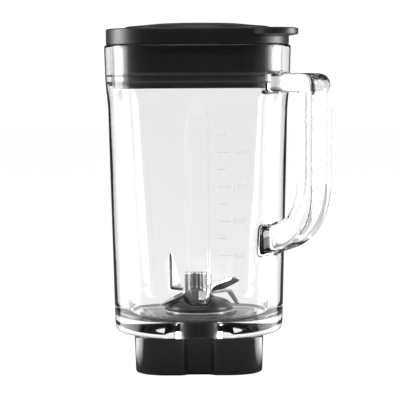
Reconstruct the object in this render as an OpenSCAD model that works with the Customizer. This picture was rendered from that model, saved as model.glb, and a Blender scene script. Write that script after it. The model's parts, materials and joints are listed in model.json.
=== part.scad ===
// Glass blending jar with a four-armed blade, a driven collar and a push-in lid.
// Z runs up the jar's axis, and the origin is the middle of the collar's lower face.
// The handle stands on the jar's corner between +X and -Y, and the pouring lip is on the corner across from it.

/* [Jar glass] */
// Height of the rim above the collar's lower face
rim_z = 234.5; // [200:0.5:290]
// Half width of the jar across its flats, outside, at the rim
rim_half = 66.5; // [56:0.5:82]
// Half width of the jar outside, just above its base
foot_half = 61; // [52:0.5:76]
// Corner radius outside at the rim
rim_corner = 35; // [20:0.5:42]
// Corner radius outside at the base, where the jar is nearly round
foot_corner = 49; // [40:0.5:52]
// How much narrower each side is below the shoulder than at the mouth
shoulder_in = 1.9; // [0.5:0.1:3]
// Depth of the mouth band, from the rim to the top of the shoulder
mouth_depth = 31.5; // [26:0.5:40]
// Height of the sloping shoulder under the mouth band
shoulder_h = 9; // [5:0.5:14]
// Glass wall in the mouth band
mouth_wall = 4.3; // [3:0.1:6]
// Glass wall below the shoulder
side_wall = 5.6; // [4:0.1:7]
// Glass wall just above the floor
foot_wall = 6.4; // [4.5:0.1:8]
// Thickness of the glass floor
floor_t = 10.2; // [7:0.1:14]
// Radius of the rounded edge under the jar
foot_round = 4; // [2:0.5:6]
// Radius where the inside of the wall meets the floor
floor_round = 9; // [5:0.5:12]
// How far the pouring corner of the rim is pulled out
lip_out = 5; // [0:0.5:8]
// Width of the inner ribs
rib_w = 20; // [12:1:26]
// Height that the ribs stand out from the wall
rib_h = 2; // [1:0.1:3]

/* [Handle] */
// Distance from the jar's axis to the middle of the grip
grip_r = 112.7; // [105:0.5:135]
// Thickness of the grip, towards the jar
grip_thick = 15.5; // [12:0.5:20]
// Width of the grip, across the hand
grip_wide = 22.5; // [16:0.5:30]
// Rounding of the grip's long edges
grip_round = 5; // [3:0.5:6]
// Thickness of the handle's upper arm
arm_thick = 13; // [10:0.5:18]
// How far the top of the handle is below the rim
handle_drop = 20.2; // [14:0.5:30]
// Height of the grip's straight run
grip_run = 65; // [50:1:90]
// Radius of the sweep from the grip back to the jar
sweep_r = 39; // [30:0.5:46]

/* [Collar] */
// Height of the collar
collar_h = 27.8; // [24:0.1:40]
// Half width of the collar across its flats
collar_half = 46.2; // [43:0.1:56]
// Radius of the collar's corners
collar_corner = 15.5; // [8:0.5:20]
// Width of the hollow in the middle of each side
hollow_w = 24; // [14:0.5:30]
// Depth of that hollow
hollow_depth = 5; // [3:0.1:6]
// Thickness of the collar at the bottom of each hollow
collar_wall = 3.2; // [2.4:0.1:5]
// Depth of the round socket that fits over the motor base
socket_depth = 14; // [8:0.5:16]
// Thickness of the deck that the jar stands on
deck_t = 5.8; // [4:0.1:8]
// Height that the rubber ring holds the glass above the collar
glass_gap = 0.5; // [0.2:0.1:1]
// Thickness of the rubber ring under the glass
base_gasket_t = 1.5; // [1:0.1:3]

/* [Blade drive] */
// Radius of the drive shaft
shaft_r = 4; // [3.5:0.1:5]
// Outside radius of each ball bearing
bearing_r = 11; // [10.6:0.1:13]
// Width of each ball bearing
bearing_w = 7; // [6:0.1:9]
// Radius of a bearing ball
ball_r = 2; // [1.6:0.05:2.2]
// Balls in each bearing
ball_count = 7; // [5:1:8]
// Wall of the housing's neck round the bearings
neck_wall = 8; // [4:0.1:10]
// Radius of the housing's flange inside the jar
flange_r = 25.2; // [24.5:0.1:30]
// Height of the housing's dome above its gasket
dome_h = 11.6; // [9:0.1:16]
// Thickness of the gasket under the housing's flange
housing_gasket_t = 1.5; // [1:0.1:2.5]
// Height of the lower face of the drive coupler
coupler_z = 4; // [2:0.1:5]
// Outside radius of the drive coupler
coupler_r = 12.5; // [11:0.1:14]
// Radius of the coupler's drive socket
drive_socket_r = 7; // [5:0.1:8]
// Depth of the coupler's drive socket
drive_socket_depth = 7; // [5:0.1:8]

/* [Blades] */
// Thickness of the blade steel
blade_t = 1.6; // [1.2:0.1:2.5]
// Width of a blade arm at the hub
arm_root_w = 13; // [9:0.5:15]
// Direction of the upper blade's outward arm, from +X
upper_turn = -38; // [-50:1:0]
// Direction of the lower blade's outward arm, from +X
lower_turn = 28; // [0:1:45]
// Reach along the blade before the steep arm turns up
steep_bend_r = 22.3; // [14:0.1:27]
// Length of the steep arm past its bend
steep_len = 25.6; // [15:0.1:30]
// Length of the gently rising arm
rising_len = 30; // [15:0.5:33]
// Reach along the blade before the drooping arm turns down
droop_bend_r = 25; // [20:0.5:27]
// Length of the drooping arm past its bend
droop_len = 13; // [6:0.5:14]
// Length of the gently falling arm
falling_len = 23; // [15:0.5:27]
// Outside radius of the blade nut
nut_r = 5.2; // [4.6:0.1:7]
// Height of the blade nut
nut_h = 12.2; // [8:0.1:16]

/* [Lid] */
// Height of the lid's outer rim
lid_rim_h = 11.2; // [8:0.1:16]
// Depth that the lid's skirt reaches into the jar
skirt_depth = 30.3; // [20:0.1:31]
// Wall of the lid
lid_wall = 2.5; // [1.8:0.1:4]
// Step from the rim's flat up to the round panel
panel_step = 2.4; // [1:0.1:4]
// Rise of the round panel above its edge
panel_rise = 2; // [1:0.1:5]
// Radius of the round panel
panel_r = 52.5; // [45:0.5:60]
// Radius of the cap's disc
cap_r = 31; // [28:0.5:38]
// Thickness of the cap's disc
cap_t = 3; // [2:0.1:5]
// Outside radius of the cap's cup
cup_r = 26.5; // [20:0.5:28]
// Depth of the cap's cup
cup_depth = 34; // [20:0.5:45]
// Wall of the cap's cup
cup_wall = 1.8; // [1.2:0.1:3]
// Distance from the jar's axis to the round end of the lid's tab
tab_reach = 75; // [65:0.5:85]
// Radius of the tab's round end
tab_r = 18; // [12:0.5:22]
// Thickness of the tab
tab_t = 5.5; // [3:0.1:8]

/* [Clearances] */
// Radial running clearance of the balls in their grooves
ball_gap = 0.05; // [0.03:0.01:0.1]
// Radial clearance of parts that are pressed or screwed together
seat_gap = 0.02; // [0:0.01:0.05]
// Radial clearance of the seal's lip on the shaft
seal_gap = 0.08; // [0.03:0.01:0.1]
// Gap between the lid's seal and the glass, and under the lid's rim
lid_gap = 0.3; // [0.2:0.05:0.6]
// Radial clearance of the cap in the lid
cap_gap = 0.5; // [0.3:0.05:1]
// Radial clearance of the housing's neck in the glass
neck_gap = 1; // [0.5:0.1:2]
// Gap between the rotating stack and the housing's dome
blade_gap = 0.6; // [0.5:0.1:2]

/* [Hidden] */
$fn = 96;
eps = 0.01;
corner_steps = 8;
handle_turn = -45;

// Levels from the collar up to the blades
deck_z = collar_h - deck_t;
glass_z = collar_h + glass_gap;
floor_z = glass_z + floor_t;
flange_z = floor_z + housing_gasket_t;
dome_z = flange_z + dome_h;
shoulder_z = rim_z - mouth_depth;
body_z = shoulder_z - shoulder_h;

// The housing and what it holds
neck_r = bearing_r + neck_wall;
glass_hole_r = neck_r + neck_gap;
nut_ring_h = 6;
nut_ring_r = neck_r + 6;
neck_z = deck_z - nut_ring_h - 1.4;
retainer_t = 1.1;
lower_bearing_z = neck_z + 2;
web_t = 1.5;
seal_r = 8.6;
seal_h = 5;
seal_pocket_h = 7;
upper_bearing_z = dome_z - seal_pocket_h - web_t - bearing_w;
web_z = upper_bearing_z + bearing_w;
dome_collar_r = seal_r + 2.6;
dome_collar_h = 2.2;

// The bearings: pitch circle half way between the shaft and the housing
pitch_r = (shaft_r + bearing_r) / 2 + 0.1;
inner_ring_r = pitch_r - ball_r + 0.5;
outer_ring_r = pitch_r + ball_r - 0.5;
shoulder_r = inner_ring_r - 0.3;
web_bore_r = shoulder_r + 0.8;

// The rotating stack
socket_top_z = coupler_z + drive_socket_depth;
thread_r = shaft_r - 1;
seat_z = dome_z + blade_gap;
washer_t = 0.8;
lower_blade_z = seat_z + washer_t;
upper_blade_z = lower_blade_z + blade_t;
lock_z = upper_blade_z + blade_t;
lock_t = 0.8;
nut_z = lock_z + lock_t;
hub_r = arm_root_w / 2 + 1.5;
hub_bend_r = hub_r + 1.2;

// The handle's path, as distance from the axis and height
handle_top_z = rim_z - handle_drop;
arm_mid_z = handle_top_z - arm_thick / 2;
bend_r = 5;
grip_top_z = arm_mid_z - bend_r;
grip_low_z = grip_top_z - grip_run;
root_thick = grip_thick + 3;
section_t = 0.8;

// The collar
socket_r = collar_half - hollow_depth - collar_wall;
hollow_r = (pow(hollow_w / 2, 2) + pow(hollow_depth, 2)) / (2 * hollow_depth);
pocket_r = 6;
pocket_reach = socket_r + pocket_r + 3;

// The lid
mouth_half = rim_half - mouth_wall;
mouth_corner = rim_corner - mouth_wall;
lid_z = rim_z + lid_gap;
lid_top_z = lid_z + lid_rim_h;
lid_half = rim_half - 1.6;
skirt_half = mouth_half - 2;
skirt_corner = mouth_corner - 2;
skirt_z = rim_z - skirt_depth;
panel_edge_z = lid_top_z + panel_step;
panel_top_z = panel_edge_z + panel_rise;
cap_seat_z = panel_top_z - cap_t;
guide_r = cup_r + cap_gap;

// Half width, corner radius and wall of the jar's plain body at a height
function body_part(z) = (z - glass_z) / (body_z - glass_z);
function mix(a, b, t) = a + (b - a) * t;
function body_half(z) = mix(foot_half, rim_half - 0.6 - shoulder_in, body_part(z));
function body_corner(z) = mix(foot_corner, rim_corner + 1, body_part(z));
function body_wall(z) = mix(foot_wall, side_wall, body_part(z));

// A rounded square as a ring of points, with the pouring corner pulled out by lip
function ring(half, corner, z, lip = 0) = [
    for (side = [0:3], i = [0:corner_steps])
        let (
            turn = 90 * side + 90 * i / corner_steps,
            pull = side == 1 ? lip * pow(cos(2 * (turn - 135)), 2) : 0,
            east = side == 0 || side == 3 ? 1 : -1,
            north = side < 2 ? 1 : -1
        )
        [
            east * (half - corner) + (corner + pull) * cos(turn),
            north * (half - corner) + (corner + pull) * sin(turn),
            z
        ]
];

// A closed skin over a stack of rings
module skin(rings) {
    n = len(rings[0]);
    last = len(rings) - 1;
    sides = [
        for (k = [0:last - 1], i = [0:n - 1])
            let (a = k * n + i, b = k * n + (i + 1) % n)
            each [[a, a + n, b + n], [a, b + n, b]]
    ];
    bottom = [[for (i = [0:n - 1]) i]];
    top = [[for (i = [n - 1:-1:0]) last * n + i]];
    polyhedron(points = [for (r = rings) each r], faces = concat(bottom, sides, top), convexity = 8);
}

// A flat rounded square that stays a true arc at its corners
module rounded_square(half, corner) {
    square([2 * half, 2 * (half - corner)], center = true);
    square([2 * (half - corner), 2 * half], center = true);
    for (x = [-1, 1], y = [-1, 1])
        translate([x * (half - corner), y * (half - corner)])
            circle(corner);
}

module ring_band(inner, outer, z, height) {
    translate([0, 0, z])
        difference() {
            cylinder(r = outer, h = height);
            translate([0, 0, -eps])
                cylinder(r = inner, h = height + 2 * eps);
        }
}

module glass_outside() {
    foot = [
        for (t = [0:30:90])
            ring(
                foot_half - foot_round * (1 - sin(t)),
                foot_corner - foot_round * (1 - sin(t)),
                glass_z + foot_round * (1 - cos(t))
            )
    ];
    wall = [
        for (k = [1:6])
            let (z = mix(glass_z + foot_round, body_z, k / 6))
            ring(body_half(z), body_corner(z), z)
    ];
    shoulder = [
        for (k = [1:4])
            let (t = (1 - cos(45 * k)) / 2)
            ring(
                body_half(body_z) + shoulder_in * t,
                mix(body_corner(body_z), rim_corner, t),
                body_z + shoulder_h * k / 4
            )
    ];
    band = [
        for (k = [1:3])
            let (t = k / 3)
            ring(
                rim_half - 0.6 * (1 - t),
                rim_corner,
                mix(shoulder_z, rim_z - mouth_wall / 2, t),
                lip_out * max(0, (t - 1 / 3) * 1.5)
            )
    ];
    lip = [
        for (t = [30:30:90])
            ring(
                rim_half - mouth_wall / 2 * (1 - cos(t)),
                rim_corner - mouth_wall / 2 * (1 - cos(t)),
                rim_z - mouth_wall / 2 * (1 - sin(t)),
                lip_out
            )
    ];
    skin(concat(foot, wall, shoulder, band, lip));
}

module glass_inside() {
    low_z = floor_z + floor_round;
    low_half = body_half(low_z) - body_wall(low_z);
    low_corner = body_corner(low_z) - body_wall(low_z);
    floor_rings = [
        for (t = [0:18:90])
            ring(
                low_half - floor_round * (1 - sin(t)),
                low_corner - floor_round * (1 - sin(t)),
                floor_z + floor_round * (1 - cos(t))
            )
    ];
    wall = [
        for (k = [1:5])
            let (z = mix(low_z, body_z, k / 5))
            ring(body_half(z) - body_wall(z), body_corner(z) - body_wall(z), z)
    ];
    shoulder = [
        for (k = [1:4])
            let (t = (1 - cos(45 * k)) / 2)
            ring(
                mix(body_half(body_z) - side_wall, mouth_half, t),
                mix(body_corner(body_z) - side_wall, mouth_corner, t),
                body_z + shoulder_h * k / 4
            )
    ];
    band = [
        for (k = [1:3])
            let (t = k / 3)
            ring(
                mouth_half,
                mouth_corner,
                mix(shoulder_z, rim_z - mouth_wall / 2, t),
                lip_out * max(0, (t - 1 / 3) * 1.5)
            )
    ];
    lip = [
        for (t = [30:30:90])
            ring(
                mouth_half + mouth_wall / 2 * (1 - cos(t)),
                mouth_corner + mouth_wall / 2 * (1 - cos(t)),
                rim_z - mouth_wall / 2 * (1 - sin(t)) + (t == 90 ? eps : 0),
                lip_out
            )
    ];
    skin(concat(floor_rings, wall, shoulder, band, lip));
}

// An upright rib on the inside of the wall, with a round top
module rib() {
    top_z = body_z - rib_w / 2 - 2;
    low_z = floor_z + floor_round;
    embed = 1.2;
    hull() {
        translate([0, body_half(top_z) - body_wall(top_z) + embed, top_z])
            scale([rib_w / 2, rib_h + embed, rib_w / 2])
                sphere(1, $fn = 32);
        translate([0, body_half(low_z) - body_wall(low_z) + embed, low_z])
            scale([rib_w / 2, rib_h + embed, 1])
                cylinder(r = 1, h = 1, $fn = 32);
    }
}

// One cross-section of the handle: distance from the axis, height, direction of travel and size
module handle_section(reach, z, direction, thick, wide) {
    translate([reach, 0, z])
        rotate([0, direction, 0])
            linear_extrude(section_t, center = true)
                hull()
                    for (x = [-1, 1], y = [-1, 1])
                        translate([x * (thick / 2 - grip_round), y * (wide / 2 - grip_round)])
                            circle(grip_round, $fn = 20);
}

module handle() {
    root_r = body_half(grip_low_z) - body_wall(grip_low_z);
    stations = concat(
        [[mouth_half + 8, arm_mid_z, 90, arm_thick, grip_wide]],
        [[grip_r - bend_r, arm_mid_z, 90, arm_thick, grip_wide]],
        [
            for (t = [30:30:90])
                [
                    grip_r - bend_r * (1 - sin(t)),
                    grip_top_z + bend_r * cos(t),
                    90 + t,
                    mix(arm_thick, grip_thick, t / 90),
                    grip_wide
                ]
        ],
        [
            for (t = [0:12:84])
                [
                    grip_r - sweep_r * (1 - cos(t)),
                    grip_low_z - sweep_r * sin(t),
                    180 + t,
                    mix(grip_thick, root_thick, t / 84),
                    grip_wide
                ]
        ],
        [[root_r + 6, grip_low_z - sweep_r * sin(84) - 1.5, 264, root_thick, grip_wide]]
    );
    rotate([0, 0, handle_turn])
        for (k = [0:len(stations) - 2])
            hull() {
                for (s = [stations[k], stations[k + 1]])
                    handle_section(s[0], s[1], s[2], s[3], s[4]);
            }
}

module jar_glass() {
    color([0.9, 0.93, 0.93, 0.45]) {
        difference() {
            union() {
                glass_outside();
                handle();
            }
            glass_inside();
            translate([0, 0, glass_z - 1])
                cylinder(r = glass_hole_r, h = floor_t + 2);
        }
        for (turn = [0, 180])
            rotate([0, 0, turn])
                rib();
    }
}

module base_collar() {
    color([0.07, 0.07, 0.08])
        difference() {
            linear_extrude(collar_h)
                difference() {
                    rounded_square(collar_half, collar_corner);
                    for (turn = [0:90:270])
                        rotate(turn)
                            translate([collar_half - hollow_depth + hollow_r, 0])
                                circle(hollow_r);
                }
            translate([0, 0, -eps])
                cylinder(r = socket_r, h = socket_depth + eps);
            translate([0, 0, socket_depth - eps])
                cylinder(r = nut_ring_r + 2, h = deck_z - socket_depth + eps);
            translate([0, 0, deck_z - eps])
                cylinder(r = neck_r + 0.5, h = deck_t + 2 * eps);
            ring_band(base_gasket_in(), base_gasket_out(), collar_h + glass_gap - base_gasket_t, base_gasket_t);
            for (turn = [45:90:315])
                rotate([0, 0, turn])
                    translate([pocket_reach, 0, -eps])
                        cylinder(r = pocket_r, h = deck_z - 2);
        }
}

function base_gasket_in() = neck_r + 4;
function base_gasket_out() = socket_r;

module base_gasket() {
    color([0.2, 0.2, 0.2])
        ring_band(base_gasket_in() + 0.1, base_gasket_out() - 0.1, glass_z - base_gasket_t, base_gasket_t);
}

module housing_gasket() {
    color([0.75, 0.75, 0.75])
        ring_band(glass_hole_r + 0.2, flange_r - 0.6, floor_z, housing_gasket_t);
}

// The dome's outline from the flange's edge in to the seal, and down inside the bore
module housing_profile() {
    collar_foot_z = dome_z - dome_collar_h;
    dome_rise = collar_foot_z - flange_z - 2;
    dome_run = flange_r - dome_collar_r - 3;
    polygon(concat(
        [
            [bearing_r, neck_z],
            [neck_r - 0.8, neck_z],
            [neck_r, neck_z + 0.8],
            [neck_r, flange_z],
            [flange_r, flange_z],
            [flange_r, flange_z + 2]
        ],
        [
            for (t = [15:15:90])
                [
                    flange_r - dome_run * (1 - cos(t)),
                    flange_z + 2 + dome_rise * sin(t)
                ]
        ],
        [
            [dome_collar_r, collar_foot_z],
            [dome_collar_r, dome_z - 0.6],
            [dome_collar_r - 0.6, dome_z],
            [seal_r, dome_z],
            [seal_r, dome_z - seal_pocket_h],
            [web_bore_r, dome_z - seal_pocket_h],
            [web_bore_r, web_z],
            [bearing_r, web_z]
        ]
    ));
}

module bearing_housing() {
    color([0.1, 0.1, 0.11])
        difference() {
            rotate_extrude()
                housing_profile();
            ring_band(bearing_r - 1, bearing_r + 0.7, lower_bearing_z - retainer_t - 0.1, retainer_t + 0.1);
        }
}

module clamp_nut() {
    color([0.3, 0.3, 0.32])
        difference() {
            ring_band(neck_r + seat_gap, nut_ring_r, deck_z - nut_ring_h, nut_ring_h);
            for (turn = [0:60:300])
                rotate([0, 0, turn])
                    translate([nut_ring_r, 0, deck_z - nut_ring_h - eps])
                        cylinder(r = 2.5, h = nut_ring_h - 2);
        }
}

// An open spring ring that holds the lower bearing up in the neck
module bearing_retainer() {
    color([0.45, 0.45, 0.47])
        difference() {
            ring_band(bearing_r - 1.6, bearing_r + 0.6, lower_bearing_z - retainer_t, retainer_t);
            translate([bearing_r - 3, -1.5, lower_bearing_z - retainer_t - 1])
                cube([6, 3, retainer_t + 2]);
        }
}

module shaft_seal() {
    low_z = dome_z - seal_pocket_h + 1;
    color([0.15, 0.15, 0.15])
        translate([0, 0, low_z])
            rotate_extrude()
                polygon([
                    [seal_r - seat_gap, 0],
                    [seal_r - seat_gap, seal_h],
                    [shaft_r + 1.6, seal_h],
                    [shaft_r + seal_gap, seal_h - 0.8],
                    [shaft_r + seal_gap, seal_h - 1.6],
                    [shaft_r + 1.8, seal_h - 2],
                    [shaft_r + 1.8, 0]
                ]);
}

module ball_groove(z) {
    translate([0, 0, z + bearing_w / 2])
        rotate_extrude()
            translate([pitch_r, 0])
                circle(ball_r + ball_gap);
}

module bearing_outer(z) {
    color([0.7, 0.7, 0.72])
        difference() {
            ring_band(outer_ring_r, bearing_r - seat_gap, z, bearing_w);
            ball_groove(z);
        }
}

module bearing_inner(z) {
    color([0.72, 0.72, 0.74])
        difference() {
            ring_band(shaft_r + seat_gap, inner_ring_r, z, bearing_w);
            ball_groove(z);
        }
}

module at_balls(z) {
    for (k = [0:ball_count - 1])
        rotate([0, 0, 360 * k / ball_count])
            translate([pitch_r, 0, z + bearing_w / 2])
                children();
}

module bearing_balls(z) {
    color([0.8, 0.8, 0.82])
        at_balls(z)
            sphere(ball_r);
}

// A crown cage: a ring with an open pocket for each ball
module bearing_cage(z) {
    ring_z = z + bearing_w / 2 - ball_r - 0.7;
    color([0.55, 0.35, 0.2])
        difference() {
            ring_band(pitch_r - 0.8, pitch_r + 0.8, ring_z, ball_r + 1.3);
            at_balls(z)
                sphere(ball_r + 0.12);
        }
}

module upper_bearing_outer() bearing_outer(upper_bearing_z);
module lower_bearing_outer() bearing_outer(lower_bearing_z);
module upper_bearing_inner() bearing_inner(upper_bearing_z);
module lower_bearing_inner() bearing_inner(lower_bearing_z);
module upper_bearing_balls() bearing_balls(upper_bearing_z);
module lower_bearing_balls() bearing_balls(lower_bearing_z);
module upper_bearing_cage() bearing_cage(upper_bearing_z);
module lower_bearing_cage() bearing_cage(lower_bearing_z);

module bearing_spacer() {
    low_z = lower_bearing_z + bearing_w;
    color([0.6, 0.6, 0.62])
        ring_band(shaft_r + seat_gap, shoulder_r, low_z, upper_bearing_z - low_z);
}

module drive_shaft() {
    color([0.65, 0.65, 0.67]) {
        translate([0, 0, socket_top_z])
            cylinder(r = shaft_r, h = seat_z - socket_top_z);
        translate([0, 0, web_z])
            cylinder(r = shoulder_r, h = web_t - 0.3);
        translate([0, 0, seat_z])
            cylinder(r = thread_r, h = nut_z + nut_h - 3.5 - seat_z);
    }
}

// The coupler takes the motor's spline from below and screws onto the shaft's lower end
module drive_coupler() {
    slot_w = 2.2;
    color([0.12, 0.12, 0.13])
        difference() {
            union() {
                translate([0, 0, coupler_z])
                    cylinder(r = coupler_r, h = neck_z - 0.8 - coupler_z);
                translate([0, 0, coupler_z])
                    cylinder(r = shaft_r + 2, h = lower_bearing_z - coupler_z);
            }
            translate([0, 0, coupler_z - eps])
                cylinder(r = drive_socket_r, h = drive_socket_depth + eps);
            translate([0, 0, coupler_z])
                cylinder(r = shaft_r + seat_gap, h = lower_bearing_z);
            for (turn = [45:90:315])
                rotate([0, 0, turn])
                    translate([drive_socket_r - 1, -slot_w / 2, coupler_z - eps])
                        cube([3, slot_w, drive_socket_depth - 0.5]);
        }
}

module blade_washer() {
    color([0.7, 0.7, 0.72])
        ring_band(thread_r + seat_gap, hub_r - 0.5, seat_z, washer_t);
}

// A flat arm along +X whose width runs from root_w to tip_w, with one straight edge
module arm_plate(from, length, root_w, tip_w) {
    linear_extrude(blade_t)
        polygon([
            [from, -root_w / 2],
            [from + length, -root_w / 2 + (root_w - tip_w) * 0.3],
            [from + length, -root_w / 2 + (root_w - tip_w) * 0.3 + tip_w],
            [from, root_w / 2]
        ]);
}

// An arm that runs flat to bend_at, then rises by angle for length to its tip, twisted by pitch
module bent_arm(bend_at, angle, length, bend_w, tip_w, pitch = 0) {
    arm_plate(0, bend_at, arm_root_w, bend_w);
    translate([bend_at, bend_w / 2 - (arm_root_w - bend_w) * 0.2 - 0.05, blade_t / 2])
        rotate([90, 0, 0])
            cylinder(r = blade_t / 2 + 0.05, h = bend_w - 0.1);
    translate([bend_at, -(arm_root_w - bend_w) * 0.2, blade_t / 2])
        rotate([0, -angle, 0])
            rotate([pitch, 0, 0])
                translate([pitch == 0 ? 0 : -0.5, 0, -blade_t / 2])
                    arm_plate(0, length, bend_w, tip_w);
}

module blade_plate(z, turn) {
    color([0.78, 0.78, 0.8])
        translate([0, 0, z])
            rotate([0, 0, turn])
                difference() {
                    union() {
                        cylinder(r = hub_r, h = blade_t);
                        children();
                    }
                    translate([0, 0, -20])
                        cylinder(r = thread_r + seat_gap, h = 40);
                }
}

module blade_upper() {
    blade_plate(upper_blade_z, upper_turn) {
        bent_arm(hub_bend_r, 22, rising_len, 12, 5, 14);
        rotate([0, 0, 180])
            bent_arm(steep_bend_r, 77, steep_len, 9.5, 2.5);
    }
}

module blade_lower() {
    blade_plate(lower_blade_z, lower_turn) {
        bent_arm(droop_bend_r, -55, droop_len, 9.5, 4);
        rotate([0, 0, 180])
            bent_arm(hub_bend_r, -20, falling_len, 12, 5);
    }
}

// A washer with notches that bite under the nut
module lock_washer() {
    color([0.75, 0.75, 0.77])
        difference() {
            ring_band(thread_r + seat_gap, nut_r + 1.2, lock_z, lock_t);
            for (turn = [0:30:330])
                rotate([0, 0, turn])
                    translate([nut_r + 0.6, -0.3, lock_z - eps])
                        cube([1, 0.6, lock_t + 2 * eps]);
        }
}

// A closed nut with long flutes for the spanner
module blade_nut() {
    flutes = 8;
    color([0.8, 0.8, 0.82])
        difference() {
            union() {
                translate([0, 0, nut_z])
                    cylinder(r = nut_r, h = nut_h - 1);
                translate([0, 0, nut_z + nut_h - 1])
                    cylinder(r1 = nut_r, r2 = nut_r - 0.8, h = 1);
            }
            translate([0, 0, nut_z - eps])
                cylinder(r = thread_r + seat_gap, h = nut_h - 3);
            for (k = [0:flutes - 1])
                rotate([0, 0, 360 * (k + 0.5) / flutes])
                    translate([nut_r + 0.5, 0, nut_z + 1.5])
                        cylinder(r = 1.1, h = nut_h);
        }
}

module lid_shell() {
    color([0.1, 0.1, 0.11])
        difference() {
            union() {
                translate([0, 0, lid_z])
                    linear_extrude(lid_rim_h)
                        rounded_square(lid_half, rim_corner);
                translate([0, 0, skirt_z])
                    linear_extrude(lid_z - skirt_z)
                        rounded_square(skirt_half, skirt_corner);
                rotate([0, 0, handle_turn])
                    translate([0, 0, lid_top_z - tab_t]) {
                        translate([tab_reach, 0, 0])
                            cylinder(r = tab_r, h = tab_t);
                        translate([tab_reach / 2, -tab_r, 0])
                            cube([tab_reach / 2, 2 * tab_r, tab_t]);
                    }
                rotate_extrude()
                    lid_panel_profile();
            }
            translate([0, 0, skirt_z - eps])
                linear_extrude(lid_top_z - lid_wall - skirt_z)
                    difference() {
                        rounded_square(skirt_half - lid_wall, skirt_corner - lid_wall);
                        circle(guide_r + lid_wall);
                    }
            translate([0, 0, skirt_z - eps])
                cylinder(r = guide_r + lid_wall + eps, h = lid_z - 6 - skirt_z);
            translate([0, 0, skirt_z - eps])
                cylinder(r = guide_r, h = 2 * skirt_depth + lid_rim_h);
            translate([0, 0, cap_seat_z - cap_gap])
                cylinder(r = cap_r + cap_gap, h = 2 * cap_t);
        }
}

// The round panel: a small step, then a gentle rise to the cap
module lid_panel_profile() {
    polygon(concat(
        [[0, lid_top_z - 1], [panel_r, lid_top_z - 1], [panel_r, panel_edge_z - 1]],
        [
            for (t = [0:10:90])
                [
                    panel_r - 1 - (panel_r - 1 - cap_r) * sin(t),
                    panel_edge_z + panel_rise * (1 - cos(t)) * 0.5 + panel_rise * 0.5 * sin(t)
                ]
        ],
        [[0, panel_top_z]]
    ));
}

// A soft band round the skirt's foot, with two lips
module lid_seal() {
    lip_half = mouth_half - lid_gap;
    lip_corner = mouth_corner - lid_gap;
    band_half = skirt_half + 0.7;
    band_corner = skirt_corner + 0.7;
    low_z = skirt_z + 2;
    color([0.16, 0.16, 0.17])
        difference() {
            union() {
                translate([0, 0, low_z])
                    linear_extrude(9)
                        rounded_square(band_half, band_corner);
                for (z = [low_z + 1.5, low_z + 6.5])
                    translate([0, 0, z])
                        linear_extrude(1.2)
                            rounded_square(lip_half, lip_corner);
            }
            translate([0, 0, low_z - 1])
                linear_extrude(11)
                    rounded_square(skirt_half + seat_gap, skirt_corner + seat_gap);
        }
}

// A disc that closes the lid's opening, with a small measuring cup below it
module lid_cap() {
    cup_z = cap_seat_z - cup_depth;
    color([0.12, 0.12, 0.13])
        difference() {
            union() {
                translate([0, 0, cap_seat_z])
                    cylinder(r = cap_r, h = cap_t);
                translate([0, 0, cup_z])
                    cylinder(r = cup_r, h = cup_depth + eps);
            }
            translate([0, 0, cup_z - eps])
                cylinder(r = cup_r - cup_wall, h = cup_depth);
        }
}

jar_glass();
base_collar();
base_gasket();
bearing_housing();
housing_gasket();
clamp_nut();
bearing_retainer();
shaft_seal();
upper_bearing_outer();
lower_bearing_outer();
upper_bearing_inner();
lower_bearing_inner();
bearing_spacer();
drive_shaft();
drive_coupler();
blade_washer();
blade_lower();
blade_upper();
lock_washer();
blade_nut();
upper_bearing_balls();
upper_bearing_cage();
lower_bearing_balls();
lower_bearing_cage();
lid_shell();
lid_seal();
lid_cap();
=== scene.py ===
"""Looks of a glass blending jar: glass, handle, collar, blade drive and lid, built round the CAD part."""

import json
import logging
import math
from dataclasses import dataclass, field
from enum import Enum

import bmesh
import bpy
import numpy as np
from mathutils import Matrix, Vector


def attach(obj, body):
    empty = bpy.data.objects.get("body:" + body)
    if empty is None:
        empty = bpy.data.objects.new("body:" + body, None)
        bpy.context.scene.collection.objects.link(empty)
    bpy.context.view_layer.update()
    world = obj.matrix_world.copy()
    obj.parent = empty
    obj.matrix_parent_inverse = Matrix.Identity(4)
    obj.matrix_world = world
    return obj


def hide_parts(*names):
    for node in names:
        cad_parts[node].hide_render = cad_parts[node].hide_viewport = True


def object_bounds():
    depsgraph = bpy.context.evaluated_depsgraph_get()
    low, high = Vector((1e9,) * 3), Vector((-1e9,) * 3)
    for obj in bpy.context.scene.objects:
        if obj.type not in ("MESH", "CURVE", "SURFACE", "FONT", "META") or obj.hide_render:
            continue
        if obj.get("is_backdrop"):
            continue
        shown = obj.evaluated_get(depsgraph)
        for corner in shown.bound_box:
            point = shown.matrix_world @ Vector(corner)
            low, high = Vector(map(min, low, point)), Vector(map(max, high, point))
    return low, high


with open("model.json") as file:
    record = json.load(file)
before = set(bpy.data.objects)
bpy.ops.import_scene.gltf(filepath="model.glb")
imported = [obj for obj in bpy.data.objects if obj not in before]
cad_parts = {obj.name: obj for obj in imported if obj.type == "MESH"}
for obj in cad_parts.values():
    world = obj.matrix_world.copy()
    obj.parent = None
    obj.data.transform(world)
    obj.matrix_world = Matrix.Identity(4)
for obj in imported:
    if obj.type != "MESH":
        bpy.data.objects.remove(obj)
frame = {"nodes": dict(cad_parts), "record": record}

LOG = logging.getLogger("blending_jar")
MM = 0.001
HANDLE_TURN = -45.0
Station = tuple[float, float, float, float]


class Body(Enum):
    """The moving bodies that pieces ride on."""

    JAR = "jar"
    LID = "lid"
    CAP = "cap"
    ROTOR = "blade_rotor"


class Lay(Enum):
    """Direction of the fine lines that a tool leaves on metal."""

    TURNED = "turned"
    GROUND = "ground"


# ---------------------------------------------------------------- outlines and skins


def mix(a: float, b: float, t: float) -> float:
    """Value a share t of the way from a to b."""
    return a + (b - a) * t


def smooth(t: float) -> float:
    """Smooth step from 0 to 1 while t goes from 0 to 1."""
    t = max(0.0, min(1.0, t))
    return t * t * (3 - 2 * t)


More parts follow.
